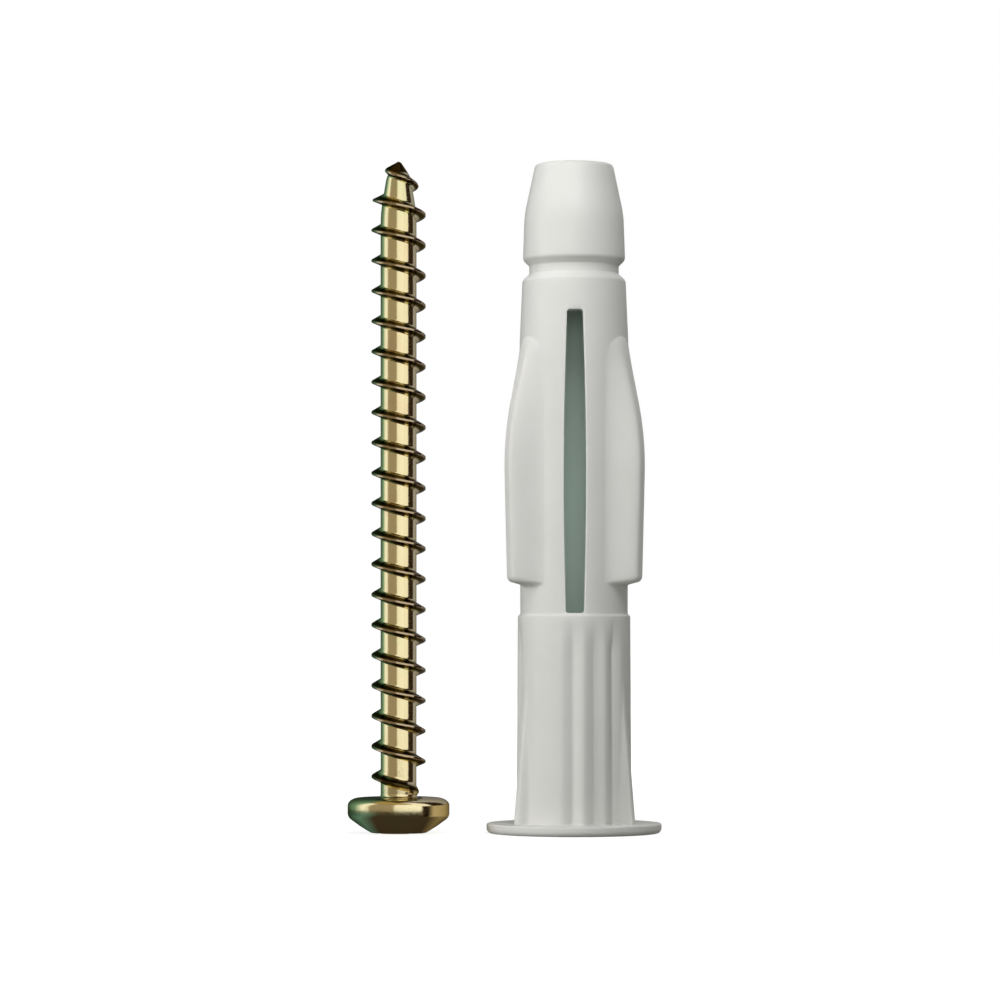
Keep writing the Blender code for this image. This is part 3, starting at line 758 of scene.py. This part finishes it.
def grow(base, build, values):
    """Gives the object what a new tree builds of it, as a plain mesh with every face turned outwards.

    The tree has an input for each value. Its name is the value's, and it is set by its identifier.
    """
    tree = bpy.data.node_groups.new(build.__name__, "GeometryNodeTree")
    tree.interface.new_socket("Geometry", in_out="OUTPUT", socket_type="NodeSocketGeometry")
    tree.interface.new_socket("Geometry", in_out="INPUT", socket_type="NodeSocketGeometry")
    numbered = {}
    for name, value in values.items():
        item = tree.interface.new_socket(name, in_out="INPUT", socket_type=SOCKETS[type(value)])
        numbered[item.identifier] = value
    add = partial(add_node, tree)
    given = dict(add("NodeGroupInput").outputs.items())
    real = add("GeometryNodeRealizeInstances", {0: build(add, given)})
    joined = add("GeometryNodeMergeByDistance", {"Geometry": real, "Distance": given["Merge distance"]})
    smooth = add("GeometryNodeSetShadeSmooth", {"Geometry": joined})
    dressed = add("GeometryNodeSetMaterial", {"Geometry": smooth, "Material": given["Material"]})
    add("NodeGroupOutput", {0: dressed})
    modifier = base.modifiers.new(tree.name, "NODES")
    modifier.node_group = tree
    for identifier, value in numbered.items():
        modifier[identifier] = value
    graph = bpy.context.evaluated_depsgraph_get()
    grown = base.evaluated_get(graph)
    base.data = bpy.data.meshes.new_from_object(grown, preserve_all_data_layers=True, depsgraph=graph)
    base.modifiers.clear()
    base.data.name = base.name
    shape = bmesh.new()
    shape.from_mesh(base.data)
    written(shape, base.data).set_sharp_from_angle(angle=SHARP_EDGE)


def repeat_round_axis(add, given):
    """Sets copies of the geometry round an upright axis."""
    points = add("GeometryNodePoints", {"Count": given["Count"]})
    turn = add("ShaderNodeMath", {0: 2 * math.pi, 1: given["Count"]}, operation="DIVIDE")
    index = add("GeometryNodeInputIndex")
    turned = add("ShaderNodeMath", {0: index, 1: turn, 2: given["First angle"]}, operation="MULTIPLY_ADD")
    rotation = add("FunctionNodeEulerToRotation", {0: add("ShaderNodeCombineXYZ", {"Z": turned})})
    legs = {"Points": points, "Instance": given["Geometry"], "Rotation": rotation}
    copies = add("GeometryNodeInstanceOnPoints", legs)
    return add("GeometryNodeTransform", {"Geometry": copies, "Translation": given["Axis"]})


# The thread's tree, a node in each row: its name, what it does, and its inputs by name or value. A range
# stops at both of its ends, and a line runs on.
THREAD_STEPS = (
    # The strip's columns crowd together at the ridge, and both of its ends draw in: the lower one to the
    # ring where the shank leaves the head, and the upper one to the point
    ("across", "ADD", "x", 0.5),
    ("along", "ADD", "y", 0.5),
    ("phase", "MULTIPLY", "across", 2 * math.pi),
    ("wave", "SINE", "phase"),
    ("across", "MULTIPLY_ADD", "wave", CROWDING / (2 * math.pi), "across"),
    ("turns", "MULTIPLY", "along", "Turns"),
    ("pitches", "ADD", "turns", "across"),
    ("height", "MULTIPLY_ADD", "pitches", "Pitch", "Strip foot"),
    ("height", "SMOOTH_MAX", "height", "Head height", "Draw in"),
    ("height", "SMOOTH_MIN", "height", "Length", "Draw in"),
    # The core: shank, taper, cone, blunt end and the fillet at the head
    ("taper", "LINE", "height", "Taper start", "Cone start", "Shank radius", "Cone radius"),
    ("to top", "SUBTRACT", "Cone top", "height"),
    ("cone", "MULTIPLY", "to top", "Cone slope"),
    ("core", "SMOOTH_MIN", "Shank radius", "taper", "Cone blend"),
    ("core", "SMOOTH_MIN", "core", "cone", "Cone blend"),
    ("to end", "RANGE", "height", "End start", "Length", 1.0, 0.0),
    ("past", "SUBTRACT", 2.0, "to end"),
    ("circle", "MULTIPLY", "past", "to end"),
    ("blunt", "SQRT", "circle"),
    ("core", "MULTIPLY", "core", "blunt"),
    ("fillet top", "ADD", "Head height", "Fillet"),
    ("to head", "RANGE", "height", "Head height", "fillet top", 1.0, 0.0),
    ("flare", "POWER", "to head", FILLET_FLARE),
    ("core", "MULTIPLY_ADD", "flare", "Fillet", "core"),
    # The ridge: how far each column is from its middle, and how much of it is there. Its softening takes a
    # sixth of its width off the crest, which is given back.
    ("off middle", "SUBTRACT", "across", 0.5),
    ("off middle", "MULTIPLY", "off middle", "Pitch"),
    ("below", "MULTIPLY", "off middle", -1.0),
    ("head flank", "RANGE", "below", "Foot of head flank", "Half crest"),
    ("point flank", "RANGE", "off middle", "Foot of point flank", "Half crest"),
    ("ridge", "SMOOTH_MIN", "head flank", "point flank", RIDGE_SOFTNESS),
    ("ridge", "DIVIDE", "ridge", 1 - RIDGE_SOFTNESS / 6),
    ("run out", "RANGE", "turns", "Run-out start", "Run-out end"),
    ("lead in", "RANGE", "turns", "Lead-in end", "Lead-in start"),
    ("off head", "SUBTRACT", 1.0, "to head"),
    ("ridge", "MULTIPLY", "ridge", "run out"),
    ("ridge", "MULTIPLY", "ridge", "lead in"),
    ("ridge", "MULTIPLY", "ridge", "off head"),
    ("to top", "SUBTRACT", "Thread cone top", "height"),
    ("crest", "MULTIPLY", "to top", "Thread cone slope"),
    ("crest", "SMOOTH_MIN", "crest", "Thread radius", "Cone blend"),
    ("rise", "SUBTRACT", "crest", "core"),
    ("radius", "MULTIPLY_ADD", "rise", "ridge", "core"),
    # Round the axis
    ("full turn", "MULTIPLY", "Hand", 2 * math.pi),
    ("turned", "MULTIPLY_ADD", "turns", "full turn", "First angle"),
    ("cosine", "COSINE", "turned"),
    ("sine", "SINE", "turned"),
    ("x", "MULTIPLY_ADD", "cosine", "radius", "Axis"),
    ("y", "MULTIPLY", "sine", "radius"),
    # What the crest attribute holds: the ridge, and the darkened point, from which the plating paints its
    # dark flanks, greyer crests and dark point as painted reflections
    ("dull to", "ADD", "Dull point", POINT_DARKENING_EDGE),
    ("dull", "RANGE", "height", "Dull point", "dull to", 0.0, POINT_DARKENING),
    ("mark", "MAXIMUM", "ridge", "dull"),
)


def wind_thread(add, given):
    """Winds one strip, a pitch wide, round the screw's core and sets it on the head."""
    grid = add("GeometryNodeMeshGrid", {0: 1.0, 1: 1.0, 2: given["Columns"], 3: given["Rows"]})
    place = add("ShaderNodeSeparateXYZ", {0: add("GeometryNodeInputPosition")}).outputs
    made = {**given, "x": place[0], "y": place[1]}
    for name, does, *sources in THREAD_STEPS:
        inputs = {i: made.get(source, source) for i, source in enumerate(sources)}
        if does in ("RANGE", "LINE"):
            made[name] = add("ShaderNodeMapRange", inputs, clamp=does == "RANGE")
        else:
            made[name] = add("ShaderNodeMath", inputs, operation=does)
    point = add("ShaderNodeCombineXYZ", {0: made["x"], 1: made["y"], 2: made["height"]})
    crest = {"Geometry": grid, "Name": "crest", "Value": made["mark"]}
    marked = add("GeometryNodeStoreNamedAttribute", crest, data_type="FLOAT", domain="POINT")
    wound = add("GeometryNodeSetPosition", {"Geometry": marked, "Position": point})
    return add("GeometryNodeJoinGeometry", {0: [wound, given["Geometry"]]})


def closed_skin(name, rings):
    """An object whose skin runs over rings of places and closes at the first and the last."""
    shape = bmesh.new()
    rings = [[shape.verts.new(place) for place in ring] for ring in rings]
    skin(shape, rings, closed=True)
    shape.faces.new(rings[0])
    shape.faces.new(rings[-1])
    return new_object(name, shape)


def head_shape(screw, first_angle):
    """The pan head, flat side down, closed by a cap where the shank leaves it."""
    across, up = screw.head_radius - screw.head_seat_radius, screw.head_height - screw.head_wall_high
    shoulder = [
        (screw.head_seat_radius + across * math.cos(arc), screw.head_wall_high + up * math.sin(arc), 0)
        for arc in np.linspace(0, math.pi / 2, math.ceil(math.pi / 2 / ARC_STEP) + 1)
    ]
    corners = [
        (0, 0, 0),
        (screw.head_flat_radius, 0, screw.head_flat_round),
        (screw.head_bulge_radius, screw.head_bulge_height, screw.head_bulge_round),
        (screw.head_radius, screw.head_wall_low, screw.head_edge_round),
        *shoulder,
        (screw.shank_radius + screw.shank_fillet, screw.head_height, 0),
    ]
    turns = [first_angle + 2 * math.pi * side / TURN_SIDES for side in range(TURN_SIDES)]
    rings = [
        [(screw.axis + radius * math.cos(turn), radius * math.sin(turn), height) for turn in turns]
        for radius, height in rounded(corners)[1:]
    ]
    return closed_skin("screw_head", rings)


def recess_cutter(screw):
    """The cross recess: tapered wings, and a pit in the middle of their floor."""
    slope = (screw.recess_reach - screw.recess_floor_reach) / screw.recess_depth
    wing_slope = (screw.recess_wing - screw.recess_floor_wing) / screw.recess_depth
    sections = (
        (screw.recess_reach + slope * OVERCUT, screw.recess_wing + wing_slope * OVERCUT, -OVERCUT),
        (screw.recess_floor_reach, screw.recess_floor_wing, screw.recess_depth),
        (screw.recess_pit_reach, screw.recess_pit_wing, screw.recess_depth + screw.recess_pit_depth),
    )
    rings = []
    for reach, wing, height in sections:
        ring = []
        for quarter_turn in range(4):
            turn = screw.recess_turn + quarter_turn * math.pi / 2
            for outward, sideways in ((reach, -wing / 2), (reach, wing / 2), (wing / 2, wing / 2)):
                x = screw.axis + outward * math.cos(turn) - sideways * math.sin(turn)
                y = outward * math.sin(turn) + sideways * math.cos(turn)
                ring.append((x, y, height))
        rings.append(ring)
    return closed_skin("recess_cutter", rings)


def cut_head(screw, first_angle):
    """The head with its recess, opened where the shank leaves it."""
    head = head_shape(screw, first_angle)
    cutter = recess_cutter(screw)
    modifier = head.modifiers.new("recess", "BOOLEAN")
    modifier.object = cutter
    modifier.operation = "DIFFERENCE"
    modifier.solver = "EXACT"
    graph = bpy.context.evaluated_depsgraph_get()
    head.data = bpy.data.meshes.new_from_object(head.evaluated_get(graph), depsgraph=graph)
    head.modifiers.clear()
    bpy.data.objects.remove(cutter)
    shape = bmesh.new()
    shape.from_mesh(head.data)
    under = screw.head_height - ROW_LEAST
    caps = [face for face in shape.faces if len(face.verts) > 4 and min(v.co.z for v in face.verts) > under]
    bmesh.ops.delete(shape, geom=caps, context="FACES_ONLY")
    written(shape, head.data, outwards=False)
    return head


class FIXING_OT_wall_plug(bpy.types.Operator):
    """Make the nylon wall plug in place of its solid"""

    bl_idname = "fixing.wall_plug"
    bl_label = "Wall plug"

    def execute(self, context):
        scene = context.scene
        sector = PlugSector(scene.plug_sizes, scene.slot_sizes, scene.rib_sizes)
        piece = new_object("moulded_plug", sector.mesh())
        values = {
            "Count": LEGS,
            "First angle": FIRST_LEG,
            "Axis": (scene.plug_sizes.axis, 0.0, 0.0),
            "Merge distance": MERGE_DISTANCE,
            "Material": grey_moulded_nylon(scene.finishes),
        }
        grow(piece, repeat_round_axis, values)
        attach(piece, "root")
        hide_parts("wall_plug")
        return {"FINISHED"}


class FIXING_OT_screw(bpy.types.Operator):
    """Make the plated screw in place of its solid"""

    bl_idname = "fixing.screw"
    bl_label = "Screw"

    def execute(self, context):
        screw = context.scene.screw_sizes
        pitch = screw.thread_pitch
        half_crest = screw.thread_crest / 2
        strip_foot = screw.head_height - pitch - screw.draw_in
        first_crest = screw.head_height + screw.thread_above_head
        # Turns at which the ridge's middle reaches the first crest and the last one
        start = (first_crest - strip_foot) / pitch - 0.5
        end = (screw.length - screw.thread_below_tip - strip_foot) / pitch - 0.5
        rows = math.ceil((screw.length + screw.draw_in - strip_foot) / pitch * TURN_SIDES)
        first_angle = screw.thread_start - screw.thread_hand * 2 * math.pi * start
        values = {
            "Rows": rows + 1,
            "Columns": STRIP_WIDTH_COLUMNS + 1,
            "Turns": rows / TURN_SIDES,
            "Pitch": pitch,
            "Strip foot": strip_foot,
            "First angle": first_angle,
            "Hand": float(screw.thread_hand),
            "Axis": screw.axis,
            "Head height": screw.head_height,
            "Length": screw.length,
            "Draw in": screw.draw_in,
            "Shank radius": screw.shank_radius,
            "Thread radius": screw.thread_radius,
            "Thread cone top": screw.length + screw.thread_cone_top,
            "Thread cone slope": math.tan(screw.thread_half_angle),
            "Half crest": half_crest,
            "Foot of head flank": half_crest + screw.thread_flank_to_head,
            "Foot of point flank": half_crest + screw.thread_flank_to_point,
            # Where the point starts to be painted as dark as the flanks, a painted reflection
            "Dull point": screw.length - screw.point_dull,
            "Run-out start": start,
            "Run-out end": start + screw.run_out_turns,
            "Lead-in start": end - screw.lead_in_turns,
            "Lead-in end": end,
            "Fillet": screw.shank_fillet,
            "Taper start": screw.length - screw.point_taper,
            "Cone start": screw.length - screw.point_cone,
            "Cone radius": screw.point_base_radius,
            "Cone top": screw.length + screw.point_overrun,
            "Cone slope": math.tan(screw.point_half_angle),
            "Cone blend": screw.point_blend,
            "End start": screw.length - screw.point_round,
            "Merge distance": MERGE_DISTANCE,
            "Material": yellow_plated_steel(context.scene.finishes),
        }
        piece = cut_head(screw, first_angle)
        piece.name = "plated_screw"
        grow(piece, wind_thread, values)
        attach(piece, "root")
        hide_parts("screw")
        return {"FINISHED"}


# What the metal mirrors, from the left at the back round the front to the right at the back: the turn in
# degrees from the camera, and the colour there
MIRRORED_ROOM = {
    -180: "#2E3A34", -150: "#4E6E60", -114: "#6E9484", -88: "#FFFFFF", -73: "#E6E2DC", -69: "#998C78",
    -12: "#998C78", -8: "#F4F0EA", 60: "#FFFFFF", 64: "#2A1D12", 180: "#2A1D12",
}
# What the shank and the head mirror of the cards close by on their right, which hide the plug from them
MIRRORED_CARDS = {
    30: "#F4F0EA", 59: "#F4F0EA", 60: "#2A1D12", 96: "#2A1D12", 101: "#A09EA6", 165: "#A09EA6",
}
MIRRORED_LOW_CARDS = {
    40: "#4A3A24", 44: "#1E140A", 52: "#1E140A", 64: "#B0A084", 100: "#A09070", 165: "#5A5040",
}
# What the head's low cone mirrors of a dark sheet round the screw on the floor: a painted reflection of the
# floor's shade near the head
MIRRORED_FLOOR_SHADE = {
    -180: "#3A3428", -110: "#3E5A54", -70: "#5A7E7C", -40: "#3A3228", 50: "#3A3228", 80: "#887A60",
    180: "#3A3428",
}
MIRRORED_CEILING = "#A08A5C"
# The room's wall, the dark sheet round the screw that stands in for the shaded floor, and the cards beside
# it. Each wall fades between two heights.
ROOM_RADIUS, ROOM_EDGE, ROOM_HEIGHT = 400 * MM, 560 * MM, 640 * MM
MIRRORED_FLOOR_HEIGHT, FLOOR_SHADE_HOLE, FLOOR_SHADE_RADIUS = 0.02 * MM, 0.5 * MM, 60 * MM
CARD_RADIUS, CARD_EDGE, CARD_HEIGHT, CARD_GAP = 6.3 * MM, 60 * MM, 75 * MM, 0.2 * MM
CARD_TURN = 2
CEILING_SIDES = 48
# How bright a wall's upper edge still is, and the outer edge of the dark sheet
WALL_FADE, FLOOR_SHADE_FADE = 0.05, 0.7

# Each lamp's place and width, in millimetres
LAMPS = {
    "side": ((-570, -185, 180), 300),
    "top": ((8, -68, 108), 60),
    "front": ((0, -500, 60), 200),
    "right": ((90, -130, 100), 80),
    "back": ((280, 485, 260), 300),
}
SKY = "#EAF4EE"
FLOOR = "#9A9C98"
# Half the floor's width in metres, and how far from the object its own white begins to rise and is full
FLOOR_REACH = 3
WHITE_FROM, WHITE_TO = 20 * MM, 90 * MM
CAMERA_PLACE = (-0.35 * MM, -286 * MM, 14.7 * MM)
CAMERA_LENS, CAMERA_SENSOR, CAMERA_SHIFT = 135.1, 36, 0.14


def mirrored(name, shape, tint=None):
    """A card that glows in one colour or in those of its mesh, and shows in gloss alone.

    It lights nothing, shades nothing and isn't seen by the camera.
    """
    card = new_object(name, shape)
    material, add = new_material(name)
    tint = tint or add("ShaderNodeVertexColor", layer_name="glow")
    add("ShaderNodeOutputMaterial", {"Surface": add("ShaderNodeEmission", {"Color": tint})})
    card.data.materials.append(material)
    for ray in ("camera", "diffuse", "shadow", "transmission", "volume_scatter"):
        setattr(card, "visible_" + ray, False)


def mirrored_wall(name, centre, profile, bands, fade=WALL_FADE):
    """Cards round a point in rings of (radius, height), coloured by the turn from the camera."""
    channels = np.array([linear(code) for code in bands.values()]).T
    turns = np.arange(min(bands), max(bands) + 1, CARD_TURN)
    levels = [1] * (len(profile) - 1) + [fade]
    shape = bmesh.new()
    layer = shape.verts.layers.float_color.new("glow")
    rings = []
    for (radius, height), level in zip(profile, levels):
        ring = []
        for turn in turns:
            way = math.radians(turn)
            vertex = shape.verts.new((centre + radius * math.sin(way), -radius * math.cos(way), height))
            vertex[layer] = (*(level * np.interp(turn, list(bands), channel) for channel in channels), 1)
            ring.append(vertex)
        rings.append(ring)
    skin(shape, rings)
    mirrored(name, shape)


def mirrored_studio(screw):
    """The room that the metal mirrors: a wall round the object, a ceiling and a dark sheet round the screw,
    a painted shade of the floor.
    """
    wall = [(ROOM_RADIUS, z) for z in (MIRRORED_FLOOR_HEIGHT, ROOM_EDGE, ROOM_HEIGHT)]
    mirrored_wall("mirrored_room", 0, [(FLOOR_SHADE_RADIUS, MIRRORED_FLOOR_HEIGHT), *wall], MIRRORED_ROOM)
    over_head = screw.head_height + 2 * CARD_GAP
    cards = [(CARD_RADIUS, z) for z in (over_head, CARD_EDGE, CARD_HEIGHT)]
    mirrored_wall("mirrored_cards", screw.axis, cards, MIRRORED_CARDS)
    low_cards = [(CARD_RADIUS, z) for z in (MIRRORED_FLOOR_HEIGHT, over_head - CARD_GAP, over_head)]
    mirrored_wall("mirrored_low_cards", screw.axis, low_cards, MIRRORED_LOW_CARDS)
    # Painted shade: a dark sheet round the screw's head, seen only in reflections, in place of the shaded
    # floor there
    table = ((FLOOR_SHADE_HOLE, MIRRORED_FLOOR_HEIGHT), (FLOOR_SHADE_RADIUS, MIRRORED_FLOOR_HEIGHT))
    mirrored_wall("mirrored_floor_shade", screw.axis, table, MIRRORED_FLOOR_SHADE, FLOOR_SHADE_FADE)
    ceiling = bmesh.new()
    bmesh.ops.create_circle(ceiling, cap_ends=True, segments=CEILING_SIDES, radius=ROOM_RADIUS)
    bmesh.ops.translate(ceiling, verts=ceiling.verts, vec=(0, 0, ROOM_HEIGHT))
    mirrored("mirrored_ceiling", ceiling, (*linear(MIRRORED_CEILING), 1))


def seen_directly(add):
    """1 for the rays that see the stage itself: from the camera, or by gloss or glass."""
    rays = add("ShaderNodeLightPath").outputs
    seen = add("ShaderNodeMath", {0: rays["Is Camera Ray"], 1: rays["Is Glossy Ray"]}, operation="MAXIMUM")
    return add("ShaderNodeMath", {0: seen, 1: rays["Is Transmission Ray"]}, operation="MAXIMUM")


def pale_floor(settings):
    """A matt white floor that keeps the object's shadow and otherwise melts into the white behind it."""
    shape = bmesh.new()
    bmesh.ops.create_grid(shape, size=FLOOR_REACH)
    floor = new_object("pale_floor", shape)
    material, add = new_material("white_card")
    lit = add("ShaderNodeBsdfDiffuse", {"Color": (*linear(FLOOR), 1)})
    place = add("ShaderNodeTexCoord").outputs["Object"]
    off = add("ShaderNodeVectorMath", {0: place}, operation="LENGTH").outputs["Value"]
    rise = {"Value": off, "From Min": WHITE_FROM, "From Max": WHITE_TO, "To Min": settings.floor_glow}
    white_there = add("ShaderNodeMapRange", rise)
    seen = add("ShaderNodeMath", {0: seen_directly(add), 1: white_there}, operation="MULTIPLY")
    white = add("ShaderNodeEmission", {"Color": (1, 1, 1, 1), "Strength": seen})
    add("ShaderNodeOutputMaterial", {"Surface": add("ShaderNodeAddShader", {0: lit, 1: white})})
    floor.data.materials.append(material)


def white_world(settings):
    """White where it is seen, and a weaker, faintly green grey as light."""
    world = bpy.data.worlds.new("white_studio")
    world.use_nodes = True
    world.node_tree.nodes.clear()
    add = partial(add_node, world.node_tree)
    sky = add("ShaderNodeBackground", {"Color": (*linear(SKY), 1), "Strength": settings.sky})
    white = add("ShaderNodeBackground", {"Color": (1, 1, 1, 1), "Strength": 1.0})
    mixed = add("ShaderNodeMixShader", {0: seen_directly(add), 1: sky, 2: white})
    add("ShaderNodeOutputWorld", {"Surface": mixed})
    bpy.context.scene.world = world


def soft_lamp(name, place, across, level):
    """A square lamp aimed at the middle of the object. A level of 1 lights a white card there to white."""
    lamp = bpy.data.lights.new(name, "AREA")
    lamp.shape = "SQUARE"
    lamp.size = across * MM
    source = new_object(name, lamp)
    source.location = [distance * MM for distance in place]
    away = source.location - (CAD_BOX[0] + CAD_BOX[1]) / 2
    lamp.energy = level * math.pi**2 * away.length**2
    source.rotation_euler = away.to_track_quat("Z", "Y").to_euler()
    source.visible_camera = False
    source.visible_glossy = False


def photo_camera():
    """A level camera a little over the ground, its frame shifted up over the object."""
    lens = bpy.data.cameras.new("camera")
    lens.lens = CAMERA_LENS
    lens.sensor_width = CAMERA_SENSOR
    lens.shift_y = CAMERA_SHIFT
    lens.clip_start = 10 * MM
    camera = new_object("camera", lens)
    camera.location = CAMERA_PLACE
    camera.rotation_euler = (math.radians(90), 0, 0)
    bpy.context.scene.camera = camera


class FIXING_OT_stage(bpy.types.Operator):
    """Make the pale floor, the soft light and the camera"""

    bl_idname = "fixing.stage"
    bl_label = "Studio stage"

    def execute(self, context):
        settings = context.scene.stage_settings
        photo_camera()
        pale_floor(settings)
        mirrored_studio(context.scene.screw_sizes)
        white_world(settings)
        for side, (place, across) in LAMPS.items():
            soft_lamp(side + "_lamp", place, across, getattr(settings, side))
        context.scene.view_settings.view_transform = "Standard"
        return {"FINISHED"}


class FIXING_PT_sidebar(bpy.types.Panel):
    """The sizes, the finishes and the steps, in the sidebar of the 3D view"""

    bl_idname = "FIXING_PT_sidebar"
    bl_label = "Wall plug with screw"
    bl_space_type = "VIEW_3D"
    bl_region_type = "UI"
    bl_category = "Fixing"

    def draw(self, context):
        for step, groups in STEPS.items():
            box = self.layout.box()
            box.operator(step.bl_idname)
            for group in groups:
                settings = getattr(context.scene, group)
                for label in settings.bl_rna.properties.keys():
                    if label not in ("rna_type", "name"):
                        box.prop(settings, label)


STEPS = {
    FIXING_OT_wall_plug: ("plug_sizes", "slot_sizes", "rib_sizes"),
    FIXING_OT_screw: ("screw_sizes", "finishes"),
    FIXING_OT_stage: ("stage_settings",),
}
GROUPS = {
    "plug_sizes": PlugSizes,
    "slot_sizes": SlotSizes,
    "rib_sizes": RibSizes,
    "screw_sizes": ScrewSizes,
    "finishes": Finishes,
    "stage_settings": StageSettings,
}
CLASSES = (*GROUPS.values(), *STEPS, FIXING_PT_sidebar)


def register():
    for kind in CLASSES:
        bpy.utils.register_class(kind)
    for name, group in GROUPS.items():
        setattr(bpy.types.Scene, name, bpy.props.PointerProperty(type=group))


def unregister():
    for name in GROUPS:
        delattr(bpy.types.Scene, name)
    for kind in reversed(CLASSES):
        bpy.utils.unregister_class(kind)


def main():
    register()
    bpy.ops.fixing.stage()
    bpy.ops.fixing.wall_plug()
    bpy.ops.fixing.screw()


if __name__ == "__main__":
    main()
